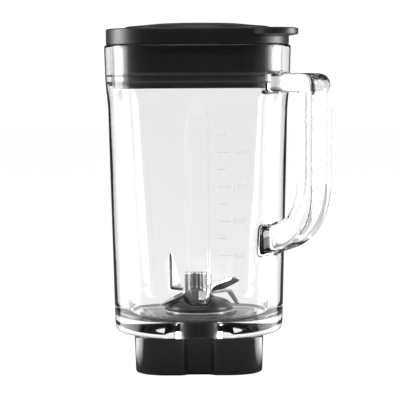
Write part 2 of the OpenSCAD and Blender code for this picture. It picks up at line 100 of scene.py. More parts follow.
def square_reach(half: float, corner: float, turn: float) -> float:
    """Distance from the axis to a rounded square, in one direction.

    Args:
        half: Half width across the flats.
        corner: Corner radius; equal to half, the outline is a circle.
        turn: Direction from +X in degrees.

    Returns:
        The distance, in the unit of half.
    """
    a, b = abs(math.cos(math.radians(turn))), abs(math.sin(math.radians(turn)))
    a, b = max(a, b), min(a, b)
    k = half - corner
    if half / a * b <= k:
        return half / a
    return k * (a + b) + math.sqrt(max(0.0, corner**2 - k * k * (1 - 2 * a * b)))


def soften(path: list[tuple[float, ...]], steps: int = 3) -> list[Station]:
    """Rounds the corners of a closed path of rings.

    Args:
        path: Entries of half width, corner radius, height, detail and the rounding's reach.
        steps: Number of spans in each rounding.

    Returns:
        The stations with each rounded corner replaced by a short curve.
    """
    out: list[Station] = []
    for k, here in enumerate(path):
        if here[4] <= 0:
            out.append(here[:4])
            continue
        ends = []
        for there in (path[k - 1], path[(k + 1) % len(path)]):
            run = math.hypot(there[0] - here[0], there[2] - here[2])
            share = min(here[4], 0.45 * run) / run
            ends.append([mix(here[i], there[i], share) for i in range(4)])
        for j in range(steps + 1):
            t = j / steps
            out.append(
                tuple(
                    (1 - t) ** 2 * ends[0][i] + 2 * t * (1 - t) * here[i] + t * t * ends[1][i]
                    for i in range(4)
                )
            )
    return out


def new_piece(name: str, bm: bmesh.types.BMesh, sharp: float = 35.0) -> bpy.types.Object:
    """Turns mesh data into a piece with smooth faces and crisp edges.

    Args:
        name: Name of the piece.
        bm: The mesh, freed afterwards.
        sharp: Angle in degrees from which an edge stays crisp.

    Returns:
        The new object, linked to the scene.
    """
    bmesh.ops.recalc_face_normals(bm, faces=bm.faces)
    mesh = bpy.data.meshes.new(name)
    bm.to_mesh(mesh)
    bm.free()
    mesh.shade_smooth()
    mesh.set_sharp_from_angle(angle=math.radians(sharp))
    piece = bpy.data.objects.new(name, mesh)
    bpy.context.scene.collection.objects.link(piece)
    return piece


def weigh_normals(piece: bpy.types.Object) -> None:
    """Keeps large flats flat beside small roundings."""
    mod = piece.modifiers.new("flat_faces", "WEIGHTED_NORMAL")
    mod.keep_sharp = True


def bake(piece: bpy.types.Object) -> None:
    """Replaces the piece's mesh with the result of its modifiers.

    Args:
        piece: The piece.
    """
    graph = bpy.context.evaluated_depsgraph_get()
    done = bpy.data.meshes.new_from_object(piece.evaluated_get(graph))
    old = piece.data
    piece.modifiers.clear()
    piece.data = done
    bpy.data.meshes.remove(old)


@dataclass
class Skin:
    """A closed skin over rings of points round the jar's axis."""

    columns: int = 192

    def turns(self) -> list[float]:
        """Directions of the columns, in degrees."""
        return [360.0 * k / self.columns for k in range(self.columns)]

    def outline(self, station: Station, turn: float) -> tuple[float, float]:
        """Point of a ring in one direction, in millimetres."""
        r = square_reach(station[0], station[1], turn)
        return r * math.cos(math.radians(turn)), r * math.sin(math.radians(turn))

    def skin(self, name: str, stations: list[Station], tube: bool = True) -> bpy.types.Object:
        """Builds the skin.

        Args:
            name: Name of the piece.
            stations: The rings, in order along the profile.
            tube: True joins the last ring to the first; False closes both ends with a face.

        Returns:
            The new piece.
        """
        bm = bmesh.new()
        turns = self.turns()
        rings = []
        for station in stations:
            ring = []
            for turn in turns:
                x, y = self.outline(station, turn)
                ring.append(bm.verts.new((x * MM, y * MM, station[2] * MM)))
            rings.append(ring)
        n = len(turns)
        pairs = list(zip(rings, rings[1:]))
        if tube:
            pairs.append((rings[-1], rings[0]))
        else:
            bm.faces.new(rings[0])
            bm.faces.new(rings[-1])
        for low, high in pairs:
            for i in range(n):
                bm.faces.new((low[i], low[(i + 1) % n], high[(i + 1) % n], high[i]))
        piece = new_piece(name, bm)
        weigh_normals(piece)
        return piece


# ---------------------------------------------------------------- material groups


class NodeKit:
    """Small helper that adds and joins shader nodes in one tree."""

    def __init__(self, tree: bpy.types.NodeTree) -> None:
        """Starts on a tree.

        Args:
            tree: The node tree to fill.
        """
        self.tree = tree

    def add(self, kind: str, values: dict | None = None, **settings: object) -> bpy.types.Node:
        """Adds a node.

        Args:
            kind: Node type.
            values: Socket values by name or index.
            **settings: Node properties.

        Returns:
            The node.
        """
        node = self.tree.nodes.new(kind)
        for key, value in settings.items():
            setattr(node, key, value)
        for key, value in (values or {}).items():
            node.inputs[key].default_value = value
        return node

    def join(self, source: bpy.types.NodeSocket, target: bpy.types.NodeSocket) -> None:
        """Links two sockets."""
        self.tree.links.new(source, target)

    def math(
        self, operation: str, first: object, second: object = 0.5, clamp: bool = False
    ) -> bpy.types.NodeSocket:
        """Adds a math node.

        Args:
            operation: Math operation.
            first: Socket or number.
            second: Socket or number.
            clamp: Whether the result stays between 0 and 1.

        Returns:
            The result socket.
        """
        node = self.add("ShaderNodeMath", operation=operation, use_clamp=clamp)
        for k, value in enumerate((first, second)):
            if isinstance(value, bpy.types.NodeSocket):
                self.join(value, node.inputs[k])
            else:
                node.inputs[k].default_value = value
        return node.outputs[0]

    def plus(self, first: object, second: object, clamp: bool = False) -> bpy.types.NodeSocket:
        """Sum of two sockets or numbers."""
        return self.math("ADD", first, second, clamp)

    def minus(self, first: object, second: object, clamp: bool = False) -> bpy.types.NodeSocket:
        """Difference of two sockets or numbers."""
        return self.math("SUBTRACT", first, second, clamp)

    def times(self, first: object, second: object, clamp: bool = False) -> bpy.types.NodeSocket:
        """Product of two sockets or numbers."""
        return self.math("MULTIPLY", first, second, clamp)

    def blend(self, fac: object, first: object, second: object) -> bpy.types.NodeSocket:
        """Mixes two colours.

        Args:
            fac: Socket or number that chooses between them.
            first: Colour or socket at 0.
            second: Colour or socket at 1.

        Returns:
            The mixed colour socket.
        """
        node = self.add("ShaderNodeMix", data_type="RGBA")
        for key, value in ((0, fac), (6, first), (7, second)):
            if isinstance(value, bpy.types.NodeSocket):
                self.join(value, node.inputs[key])
            elif key == 0:
                node.inputs[key].default_value = value
            else:
                node.inputs[key].default_value = (*value, 1.0)
        return node.outputs[2]

    def ramp(self, fac: bpy.types.NodeSocket, stops: list[tuple[float, float]]) -> bpy.types.NodeSocket:
        """Adds a grey ramp.

        Args:
            fac: Input socket.
            stops: Position and brightness pairs.

        Returns:
            The colour socket.
        """
        node = self.add("ShaderNodeValToRGB")
        marks = node.color_ramp.elements
        while len(marks) < len(stops):
            marks.new(0.5)
        for mark, (place, value) in zip(marks, stops):
            mark.position = place
            mark.color = (value, value, value, 1.0)
        self.join(fac, node.inputs[0])
        return node.outputs[0]


class Groups:
    """The shader groups that several finishes share."""

    def __init__(self) -> None:
        """Builds each group once."""
        self.grain = self.make_grain()
        self.lines = self.make_lines()
        self.wear = self.make_wear()

    @staticmethod
    def start(name: str, inputs: list[tuple[str, float]], outputs: list[str]) -> tuple:
        """Opens a new group.

        Args:
            name: Group name.
            inputs: Names and defaults of its number inputs.
            outputs: Names of its number outputs.

        Returns:
            The group, its helper, its input node and its output node.
        """
        group = bpy.data.node_groups.new(name, "ShaderNodeTree")
        for label, value in inputs:
            socket = group.interface.new_socket(name=label, in_out="INPUT", socket_type="NodeSocketFloat")
            socket.default_value = value
        for label in outputs:
            group.interface.new_socket(name=label, in_out="OUTPUT", socket_type="NodeSocketFloat")
        kit = NodeKit(group)
        return group, kit, kit.add("NodeGroupInput"), kit.add("NodeGroupOutput")

    def make_grain(self) -> bpy.types.NodeTree:
        """Moulded plastic: a fine spark-eroded grain with slow swells under it.

        Returns:
            The group.
        """
        group, kit, goes_in, comes_out = self.start(
            "moulded_grain", [("Grain Scale", 2600.0), ("Swell Scale", 60.0)], ["Height", "Mottle"]
        )
        where = kit.add("ShaderNodeTexCoord").outputs["Object"]
        fine = kit.add("ShaderNodeTexNoise", {"Detail": 3.0, "Roughness": 0.6})
        slow = kit.add("ShaderNodeTexNoise", {"Detail": 2.0})
        cells = kit.add("ShaderNodeTexVoronoi", feature="SMOOTH_F1")
        for node, label in ((fine, "Grain Scale"), (cells, "Grain Scale"), (slow, "Swell Scale")):
            kit.join(where, node.inputs["Vector"])
            kit.join(goes_in.outputs[label], node.inputs["Scale"])
        grain = kit.plus(kit.times(fine.outputs[0], 0.6), kit.times(cells.outputs[0], 0.4))
        kit.join(kit.plus(grain, kit.times(slow.outputs[0], 0.6)), comes_out.inputs["Height"])
        kit.join(slow.outputs[0], comes_out.inputs["Mottle"])
        return group

    def make_lines(self) -> bpy.types.NodeTree:
        """Fine tool lines on metal: rings round the axis, or straight strokes across it.

        Returns:
            The group.
        """
        group, kit, goes_in, comes_out = self.start(
            "tool_lines", [("Line Scale", 4000.0), ("Turned", 1.0)], ["Height", "Streak"]
        )
        where = kit.add("ShaderNodeTexCoord").outputs["Object"]
        split = kit.add("ShaderNodeSeparateXYZ")
        kit.join(where, split.inputs[0])
        x, y, z = split.outputs
        away = kit.math("SQRT", kit.plus(kit.times(x, x), kit.times(y, y)))
        straight = kit.plus(kit.times(x, 0.85), kit.times(y, 0.5))
        turned = goes_in.outputs["Turned"]
        across = kit.math(
            "ADD",
            kit.times(away, turned),
            kit.times(straight, kit.minus(1.0, turned)),
        )
        joined = kit.add("ShaderNodeCombineXYZ")
        kit.join(across, joined.inputs[0])
        kit.join(kit.times(z, 0.6), joined.inputs[1])
        lines = kit.add("ShaderNodeTexNoise", {"Detail": 2.0, "Roughness": 0.7})
        kit.join(joined.outputs[0], lines.inputs["Vector"])
        kit.join(goes_in.outputs["Line Scale"], lines.inputs["Scale"])
        cloud = kit.add("ShaderNodeTexNoise", {"Scale": 300.0, "Detail": 3.0})
        kit.join(where, cloud.inputs["Vector"])
        kit.join(lines.outputs[0], comes_out.inputs["Height"])
        kit.join(kit.times(lines.outputs[0], cloud.outputs[0]), comes_out.inputs["Streak"])
        return group

    def make_wear(self) -> bpy.types.NodeTree:
        """Rubbed edges and light dust: a mask on convex edges and a mask of specks.

        Returns:
            The group.
        """
        group, kit, goes_in, comes_out = self.start(
            "edge_wear", [("Amount", 0.5), ("Speck Scale", 900.0)], ["Edge", "Dust"]
        )
        shape = kit.add("ShaderNodeNewGeometry")
        where = kit.add("ShaderNodeTexCoord").outputs["Object"]
        patch = kit.add("ShaderNodeTexNoise", {"Scale": 140.0, "Detail": 4.0})
        specks = kit.add("ShaderNodeTexNoise", {"Detail": 2.0})
        kit.join(where, patch.inputs["Vector"])
        kit.join(where, specks.inputs["Vector"])
        kit.join(goes_in.outputs["Speck Scale"], specks.inputs["Scale"])
        proud = kit.times(kit.minus(shape.outputs["Pointiness"], 0.505), 12.0, clamp=True)
        patchy = kit.times(patch.outputs[0], goes_in.outputs["Amount"])
        rubbed = kit.times(proud, patchy, clamp=True)
        kit.join(rubbed, comes_out.inputs["Edge"])
        dusty = kit.times(kit.minus(specks.outputs[0], 0.62), 3.0, clamp=True)
        kit.join(kit.times(dusty, goes_in.outputs["Amount"]), comes_out.inputs["Dust"])
        return group


@dataclass(frozen=True)
class Finish:
    """What every finish has: a name and the way its material opens."""

    name: str

    def open(self) -> tuple[bpy.types.Material, NodeKit, bpy.types.Node]:
        """Makes an empty material with its main shader.

        Returns:
            The material, the helper on its tree, and its Principled shader.
        """
        material = bpy.data.materials.new(self.name)
        material.use_nodes = True
        material.node_tree.nodes.clear()
        kit = NodeKit(material.node_tree)
        shader = kit.add("ShaderNodeBsdfPrincipled")
        return material, kit, shader

    @staticmethod
    def close(kit: NodeKit, surface: bpy.types.NodeSocket) -> None:
        """Leads a shader to the material's output."""
        kit.join(surface, kit.add("ShaderNodeOutputMaterial").inputs["Surface"])

    @staticmethod
    def place(kit: NodeKit, group: bpy.types.NodeTree, values: dict[str, float]) -> bpy.types.Node:
        """Places a shared group in the material.

        Args:
            kit: Helper on the material's tree.
            group: The group.
            values: Its inputs by name.

        Returns:
            The group node.
        """
        node = kit.add("ShaderNodeGroup", node_tree=group)
        for label, value in values.items():
            node.inputs[label].default_value = value
        return node

    @staticmethod
    def relief(
        kit: NodeKit, shader: bpy.types.Node, height: bpy.types.NodeSocket, strength: float, reach: float
    ) -> None:
        """Leads a height to the shader's normal.

        Args:
            kit: Helper on the material's tree.
            shader: The material's shader.
            height: Height socket.
            strength: Bump strength.
            reach: Height of the relief in metres.
        """
        bump = kit.add("ShaderNodeBump", {"Strength": strength, "Distance": reach})
        kit.join(height, bump.inputs["Height"])
        kit.join(bump.outputs[0], shader.inputs["Normal"])


@dataclass(frozen=True)
class Plastic(Finish):
    """Moulded plastic, rubber or nylon with grain, rubbed edges and dust."""

    colour: tuple[float, float, float]
    roughness: float
    grain: float = 0.15
    grain_scale: float = 2600.0
    wear: float = 0.5
    coat: float = 0.0
    worn_colour: tuple[float, float, float] = (0.16, 0.16, 0.165)

    def make(self, groups: Groups) -> bpy.types.Material:
        """Builds the material from the shared groups.

        Args:
            groups: The shared groups.

        Returns:
            The material.
        """
        material, kit, shader = self.open()
        grain = self.place(kit, groups.grain, {"Grain Scale": self.grain_scale})
        worn = self.place(kit, groups.wear, {"Amount": self.wear})
        lighter = tuple(min(1.0, c * 1.25 + 0.004) for c in self.colour)
        base = kit.blend(grain.outputs["Mottle"], self.colour, lighter)
        base = kit.blend(worn.outputs["Edge"], base, self.worn_colour)
        base = kit.blend(kit.times(worn.outputs["Dust"], 0.12), base, (0.3, 0.3, 0.29))
        kit.join(base, shader.inputs["Base Color"])
        rough = kit.plus(self.roughness - 0.05, kit.times(grain.outputs["Mottle"], 0.1))
        rough = kit.plus(rough, kit.times(worn.outputs["Edge"], 0.12), clamp=True)
        kit.join(rough, shader.inputs["Roughness"])
        shader.inputs["IOR"].default_value = 1.5
        if self.coat > 0:
            shader.inputs["Coat Weight"].default_value = self.coat
            shader.inputs["Coat Roughness"].default_value = 0.06
        self.relief(kit, shader, grain.outputs["Height"], self.grain, 0.00004)
        self.close(kit, shader.outputs[0])
        return material


@dataclass(frozen=True)
class Metal(Finish):
    """Steel with tool lines, faint stains and brighter rubbed edges."""

    colour: tuple[float, float, float]
    roughness: float
    lay: Lay = Lay.TURNED
    line_scale: float = 4000.0
    bite: float = 0.25

    def make(self, groups: Groups) -> bpy.types.Material:
        """Builds the material from the shared groups.

        Args:
            groups: The shared groups.

        Returns:
            The material.
        """
        material, kit, shader = self.open()
        turned = 1.0 if self.lay is Lay.TURNED else 0.0
        lines = self.place(kit, groups.lines, {"Line Scale": self.line_scale, "Turned": turned})
        worn = self.place(kit, groups.wear, {"Amount": 0.8, "Speck Scale": 500.0})
        darker = tuple(c * 0.82 for c in self.colour)
        base = kit.blend(lines.outputs["Streak"], self.colour, darker)
        base = kit.blend(worn.outputs["Edge"], base, tuple(min(1.0, c * 1.15) for c in self.colour))
        kit.join(base, shader.inputs["Base Color"])
        shader.inputs["Metallic"].default_value = 1.0
        rough = kit.plus(self.roughness - 0.04, kit.times(lines.outputs["Height"], 0.08), clamp=True)
        rough = kit.plus(rough, kit.times(worn.outputs["Dust"], 0.1), clamp=True)
        kit.join(rough, shader.inputs["Roughness"])
        self.relief(kit, shader, lines.outputs["Height"], self.bite, 0.00001)
        self.close(kit, shader.outputs[0])
        return material


@dataclass(frozen=True)
class PressedGlass(Finish):
    """Clear pressed glass: painted shade darkens its tint at grazing edges, faintly wavy, with a few fine
    rubs.
    """

    ior: float = 1.5
    clear: float = 0.97
    # Where the painted shade on the grazing edges starts, and how dark it gets at the silhouette.
    edge_shade_start: float = 0.8
    painted_edge_shade: float = 0.08

    def make(self, groups: Groups) -> bpy.types.Material:
        """Builds the material; shadow rays pass so that what stands inside stays lit.

        Args:
            groups: The shared groups.

        Returns:
            The material.
        """
        material, kit, shader = self.open()
        shader.inputs["Transmission Weight"].default_value = 1.0
        shader.inputs["IOR"].default_value = self.ior
        grain = self.place(kit, groups.grain, {"Grain Scale": 350.0, "Swell Scale": 35.0})
        # Painted shade: the tint goes dark towards grazing angles so that the glass edges read dark in every
        # view.
        facing = kit.add("ShaderNodeLayerWeight", {"Blend": 0.5}).outputs["Facing"]
        stops = [(0.0, self.clear), (self.edge_shade_start, 0.95), (0.94, 0.5), (0.98, self.painted_edge_shade)]
        kit.join(kit.ramp(facing, stops), shader.inputs["Base Color"])
        rub = kit.times(kit.minus(grain.outputs["Mottle"], 0.6), 0.06, clamp=True)
        kit.join(rub, shader.inputs["Roughness"])
        self.relief(kit, shader, grain.outputs["Mottle"], 0.12, 0.0004)
        passing = kit.add("ShaderNodeBsdfTransparent")
        passing.inputs[0].default_value = (0.9, 0.9, 0.9, 1.0)
        choice = kit.add("ShaderNodeMixShader")
        kit.join(kit.add("ShaderNodeLightPath").outputs["Is Shadow Ray"], choice.inputs[0])
        kit.join(shader.outputs[0], choice.inputs[1])
        kit.join(passing.outputs[0], choice.inputs[2])
        self.close(kit, choice.outputs[0])
        return material


@dataclass(frozen=True)
class Frost(Finish):
    """Etched marks on glass: a faint, matt white that mostly shows by its edges."""

    strength: float = 0.16

    def make(self, groups: Groups) -> bpy.types.Material:
        """Builds the material from the shared groups.

        Args:
            groups: The shared groups.

        Returns:
            The material.
        """
        material, kit, shader = self.open()
        grain = self.place(kit, groups.grain, {"Grain Scale": 6000.0, "Swell Scale": 900.0})
        mottle = grain.outputs["Mottle"]
        kit.join(kit.blend(mottle, (0.8, 0.8, 0.8), (0.95, 0.95, 0.95)), shader.inputs["Base Color"])
        kit.join(kit.times(mottle, self.strength * 2, clamp=True), shader.inputs["Alpha"])
        shader.inputs["Roughness"].default_value = 0.7
        self.relief(kit, shader, grain.outputs["Height"], 0.2, 0.00002)
        self.close(kit, shader.outputs[0])
        return material


@dataclass
class Palette:
    """Every finish on the jar, made once."""

    groups: Groups = field(default_factory=Groups)
    made: dict[str, bpy.types.Material] = field(default_factory=dict)
    finishes: tuple = (
        PressedGlass("jar_glass"),
        Plastic("black_gloss", (0.013, 0.013, 0.0135), 0.15, 0.02, 1800.0, 0.2, 1.0),
        Plastic("housing_black", (0.012, 0.012, 0.0125), 0.3, 0.1),
        Plastic("lid_black", (0.012, 0.012, 0.0125), 0.36, 0.16, 2600.0, 0.3),
        Plastic("black_rubber", (0.02, 0.02, 0.021), 0.62, 0.3, 1500.0, 0.3),
        Plastic("grey_rubber", (0.09, 0.09, 0.092), 0.6, 0.3, 1500.0, 0.3),
        Plastic("pale_silicone", (0.5, 0.5, 0.49), 0.5, 0.2, 1200.0, 0.2, 0.0, (0.6, 0.6, 0.58)),
        Plastic("nut_nylon", (0.06, 0.06, 0.065), 0.45, 0.25, 1800.0, 0.5),
        Plastic("coupler_nylon", (0.03, 0.03, 0.032), 0.45, 0.25, 1800.0, 0.9),
        Plastic("cage_nylon", (0.42, 0.3, 0.17), 0.45, 0.2, 2400.0, 0.4, 0.0, (0.5, 0.4, 0.28)),
        Metal("spring_steel", (0.42, 0.43, 0.45), 0.3),
        Metal("bearing_steel", (0.62, 0.62, 0.64), 0.16),
        Metal("shaft_steel", (0.58, 0.58, 0.6), 0.2),
        Metal("blade_steel", (0.72, 0.72, 0.73), 0.17, Lay.GROUND, 2600.0, 0.12),
        Metal("nut_steel", (0.75, 0.75, 0.76), 0.1, Lay.TURNED, 3000.0, 0.1),
        Frost("etched_mark"),
    )

    def __post_init__(self) -> None:
        """Makes the materials."""
        for finish in self.finishes:
            self.made[finish.name] = finish.make(self.groups)

    def dress(self, piece: bpy.types.Object, slot: str, body: Body, stands_for: tuple[str, ...] = ()) -> None:
        """Gives a piece its finish, body and CAD node.

        Args:
            piece: The piece.
            slot: Name of its finish and material slot.
            body: Body that it moves with.
            stands_for: CAD nodes that it replaces.
        """
        piece.data.materials.clear()
        piece.data.materials.append(self.made[slot])
        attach(piece, body.value)
        for node in stands_for:
            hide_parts(node)
        LOG.info("piece %s: %d faces, finish %s", piece.name, len(piece.data.polygons), slot)

    def dress_carried(self) -> None:
        """Gives every CAD node that is still shown the finish of its slot."""
        for part in frame["record"]["subparts"]:
            node, slot = frame["nodes"][part["node"]], part["material_slot"]
            node.data.materials.clear()
            node.data.materials.append(self.made[slot])
            LOG.info("carried node %s: finish %s", part["node"], slot)


# ---------------------------------------------------------------- glass jar


@dataclass
class GlassJar(Skin):
    """The square glass jar and its cast handle as one closed sheet of glass."""

    rim_half: float = 66.5
    foot_half: float = 61.0
    rim_corner: float = 35.0
    foot_corner: float = 49.0
    rim_z: float = 234.5
    glass_z: float = 28.3
    floor_z: float = 38.5
    body_z: float = 186.0
    shoulder_z: float = 213.0
    shoulder_in: float = 1.9
    mouth_wall: float = 3.6
    side_wall: float = 5.3
    wall_growth: float = 0.0155
    hole_r: float = 20.0
    floor_bend: float = 9.0
    floor_corner: float = 41.0
    lip_out: float = 3.0
    grip_r: float = 112.0
    grip_thick: float = 15.5
    grip_wide: float = 21.8
    arm_thick: float = 13.0
    arm_z: float = 207.8
    grip_low_z: float = 137.8
    sweep_r: float = 39.0
    root_thick: float = 18.5
    rib_h: float = 2.0
    rib_top_z: float = 192.6
    rib_feet: tuple[float, float] = (-10.8, 8.8)
    rib_crests: tuple[float, float] = (-3.6, 5.4)
    patch_turns: tuple[float, ...] = (-8.2, -4.55, 0.0, 4.55, 8.2)
    smoothing: int = 3

    def turns(self) -> list[float]:
        """Directions of the columns, closer together where the handle grows out.

        Returns:
            Directions in degrees.
        """
        even = [-180 + 7.5 * k for k in range(48)]
        plain = [t for t in even if abs(t - HANDLE_TURN) > 8]
        return sorted(plain + [HANDLE_TURN + t for t in self.patch_turns])

    def half(self, z: float) -> float:
        """Half width outside at a height.

        Args:
            z: Height.

        Returns:
            Half width.
        """
        if z <= self.body_z:
            t = (z - self.glass_z) / (self.body_z - self.glass_z)
            return mix(self.foot_half, self.rim_half - 0.6 - self.shoulder_in, t)
        rise = smooth((z - self.body_z) / (self.shoulder_z - self.body_z))
        band = 0.6 * max(0.0, (z - self.shoulder_z) / (self.rim_z - self.shoulder_z))
        return self.rim_half - 0.6 - self.shoulder_in * (1 - rise) + band

    def corner(self, z: float) -> float:
        """Corner radius outside at a height."""
        t = min(1.0, (z - self.glass_z) / (self.body_z - self.glass_z))
        return mix(self.foot_corner, self.rim_corner + 0.6, t)

    def wall(self, z: float) -> float:
        """Wall thickness at a height.

        Args:
            z: Height.

        Returns:
            Thickness.
        """
        if z <= self.body_z:
            return self.side_wall + (self.body_z - z) * self.wall_growth
        rise = smooth((z - self.body_z) / (self.shoulder_z - self.body_z))
        return mix(self.side_wall, self.mouth_wall, rise)

    def lip(self, z: float) -> float:
        """How far the pouring corner stands out at a height."""
        return self.lip_out * smooth((z - 212) / (self.rim_z - 212))

    def outline(self, station: Station, turn: float) -> tuple[float, float]:
        """Point of a ring, with the pouring corner pulled out by the station's detail.

        Args:
            station: The ring.
            turn: Direction in degrees.

        Returns:
            The point across the axis.
        """
        r = square_reach(station[0], station[1], turn)
        off = (turn - 135 + 180) % 360 - 180
        if abs(off) < 22.5:
            r += station[3] * math.cos(math.radians(4 * off)) ** 2
        return r * math.cos(math.radians(turn)), r * math.sin(math.radians(turn))

    def outside(self) -> list[Station]:
        """Rings from the hole under the floor out and up to the rim.

        Returns:
            The rings.
        """
        round_foot = ((0, 29.4), (0.5, 28.3), (4, 28.3), (17, 28.3))
        foot = [(self.hole_r + r, self.hole_r + r, z, 0.0) for r, z in round_foot]
        foot += [(52.0, 44.0, 28.3, 0.0), (57.2, 45.2, 28.4, 0.0)]
        foot += [(60.0, 48.0, 29.6, 0.0), (61.05, 49.0, 32.6, 0.0)]
        heights = [38, 46, 56, 66, 76, 86, 97.5, 109, 118, 130, 142, 154, 166, 178, 187, 191.5, 195, 198.5]
        heights += [201.5, self.arm_z, 214.3, 219, 224, 228.5, 231.5, 233.3]
        return foot + [(self.half(z), self.corner(z), z, self.lip(z)) for z in heights]

    def inside(self) -> list[Station]:
        """Rings over the rim, down the inside and across the floor to the hole.

        Returns:
            The rings.
        """
        lip = self.lip_out
        edge, crown = self.rim_z - 0.15, self.rim_z + 0.1
        over = ((0.45, edge), (1.3, crown), (self.mouth_wall - 1.3, crown), (self.mouth_wall - 0.45, edge))
        rim = [(self.rim_half - d, self.rim_corner - d, z, lip) for d, z in over]
        heights = [233.3, 231.5, 228.5, 224, 219, 214, 208, 203, 200, 197, 194, 191, 187, 180, 170, 160, 150]
        heights += [140, 130, 120, 110, 100, 90, 80, 70, 60, 53, 49]
        wall = [(self.half(z) - self.wall(z), self.corner(z) - self.wall(z), z, self.lip(z)) for z in heights]
        low, bend = self.half(47) - self.wall(47), self.floor_bend
        curve = []
        for t in (1.2, 0.75, 0.35):
            inset, lift = bend * (1 - math.sin(t)), bend * (1 - math.cos(t))
            curve.append((low - inset, self.floor_corner - inset, self.floor_z + lift, 0.0))
        floor = [(r, r, self.floor_z, 0.0) for r in (38.0, 30.0, 24.0, 20.8)]
        hole = [(self.hole_r, self.hole_r, z, 0.0) for z in (37.6, 33.5)]
        return rim + wall + curve + floor + hole

    def section(self, reach: float, z: float, lean: tuple[float, float], wide: float) -> list[Vector]:
        """One ring of the handle.

        Args:
            reach: Distance of its middle from the axis.
            z: Height of its middle.
            lean: Outward half thickness as distance from the axis and height.
            wide: Width across the hand.

        Returns:
            Twelve points, from the outer edge round.
        """
        turn = math.radians(HANDLE_TURN)
        out, side = Vector((math.cos(turn), math.sin(turn), 0)), Vector((-math.sin(turn), math.cos(turn), 0))
        across = [-wide / 2, -wide / 2 + 5.0, 0.0, wide / 2 - 5.0, wide / 2]
        spots = [(v, 1) for v in across] + [(wide / 2, 0)]
        spots += [(v, -1) for v in reversed(across)] + [(-wide / 2, 0)]
        return [
            (out * (reach + lean[0] * s) + side * v + Vector((0, 0, z + lean[1] * s))) * MM for v, s in spots
        ]

    def handle_sections(self) -> list[list[Vector]]:
        """The handle's rings, from the upper arm over the grip down to the root.

        Returns:
            The rings of points.
        """
        arm, grip = self.arm_thick / 2, self.grip_thick / 2
        rings = [self.section(r, self.arm_z, (0, arm), self.grip_wide) for r in (82.2, 92.0, 103.0)]
        rings.append(self.section(self.grip_r, self.arm_z, (grip, arm), self.grip_wide))
        straight = (196.0, 177.0, 157.0, self.grip_low_z)
        rings += [self.section(self.grip_r, z, (grip, 0), self.grip_wide) for z in straight]
        for k in range(1, 7):
            t = math.radians(14 * k)
            thick = mix(grip, self.root_thick / 2, k / 6)
            reach = self.grip_r - self.sweep_r * (1 - math.cos(t))
            z = self.grip_low_z - self.sweep_r * math.sin(t)
            rings.append(self.section(reach, z, (thick * math.cos(t), -thick * math.sin(t)), self.grip_wide))
        rings.append(self.section(73.6, 98.0, (0.6, -10.2), self.grip_wide + 0.6))
        return rings

    def rib_profile(self, x: float, z: float) -> float:
        """Share of the rib's height at a place on the wall.

        Args:
            x: Place across the wall.
            z: Height.

        Returns:
            Share from 0 to 1.
        """
        arch = 1.0
        low_arch = self.rib_top_z - 11
        if z > low_arch:
            arch = math.sqrt(max(0.0, 1 - ((z - low_arch) / 11) ** 2))
        if arch < 0.05 or z < 49:
            return 0.0
        (left, right), (crest_a, crest_b) = self.rib_feet, self.rib_crests
        mid = (left + right) / 2
        x = mid + (x - mid) / arch
        if x < crest_a:
            share = (x - left) / (crest_a - left)
        else:
            share = (right - x) / (right - crest_b)
        return smooth(share) * smooth((self.rib_top_z - z) / 7) * smooth((z - 49) / 12)

    def raise_ribs(self, piece: bpy.types.Object) -> None:
        """Moves the inner skin in to form the upright ribs at the front and back.

        Args:
            piece: The smoothed glass.
        """
        mesh = piece.data
        spots = np.empty(len(mesh.vertices) * 3, np.float32)
        mesh.vertices.foreach_get("co", spots)
        spots = spots.reshape(-1, 3)
        near = np.nonzero((np.abs(spots[:, 0]) < 0.013) & (spots[:, 2] > 0.047) & (spots[:, 2] < 0.195))[0]
        for k in near:
            x, y, z = (float(v) / MM for v in spots[k])
            if 40 < abs(y) < self.half(z) - self.wall(z) / 2:
                side = -1 if y > 0 else 1
                spots[k, 1] += side * self.rib_h * self.rib_profile(x, z) * MM
        mesh.vertices.foreach_set("co", spots.ravel())
        mesh.update()

    def build(self, palette: Palette) -> None:
        """Builds the glass as a control cage, joins the handle to it and smooths both.

        Args:
            palette: The finishes.
        """
        bm = bmesh.new()
        turns = self.turns()
        stations = self.outside() + self.inside()
        rings = []
        for station in stations:
            spots = [(*self.outline(station, t), station[2]) for t in turns]
            rings.append([bm.verts.new([v * MM for v in spot]) for spot in spots])
        mid, n = turns.index(HANDLE_TURN), len(turns)
        rows = [k for k, s in enumerate(self.outside()) if s[2] in (201.5, self.arm_z, 214.3, 86, 97.5, 109)]
        low_rows, top_rows = rows[:3], rows[3:]
        open_rows = {low_rows[0], low_rows[1], top_rows[0], top_rows[1]}
        for k, ring in enumerate(rings):
            above = rings[(k + 1) % len(rings)]
            for i in range(n):
                if k in open_rows and mid - 2 <= i < mid + 2:
                    continue
                bm.faces.new((ring[i], ring[(i + 1) % n], above[(i + 1) % n], above[i]))
        sections = [[bm.verts.new(p) for p in ring] for ring in self.handle_sections()]

        def patch(outer_row: int, mid_row: int, inner_row: int) -> list[bmesh.types.BMVert]:
            """The opening's edge, in the order of a handle ring.

            Args:
                outer_row: Ring at the outer edge of the opening.
                mid_row: Ring through its middle.
                inner_row: Ring at its inner edge.

            Returns:
                Twelve points.
            """
            cols = range(mid - 2, mid + 3)
            edge = [rings[outer_row][c] for c in cols] + [rings[mid_row][mid + 2]]
            return edge + [rings[inner_row][c] for c in reversed(cols)] + [rings[mid_row][mid - 2]]

        chain = [patch(top_rows[2], top_rows[1], top_rows[0])] + sections + [patch(*low_rows)]
        for a, b in zip(chain, chain[1:]):
            for i in range(12):
                bm.faces.new((a[i], a[(i + 1) % 12], b[(i + 1) % 12], b[i]))
        loose = [v for v in bm.verts if not v.link_faces]
        bmesh.ops.delete(bm, geom=loose, context="VERTS")
        piece = new_piece("glass_jar_body", bm, 180.0)
        piece.modifiers.new("rounding", "SUBSURF").levels = self.smoothing
        bake(piece)
        self.raise_ribs(piece)
        piece.data.shade_smooth()
        palette.dress(piece, "jar_glass", Body.JAR, ("jar_glass",))


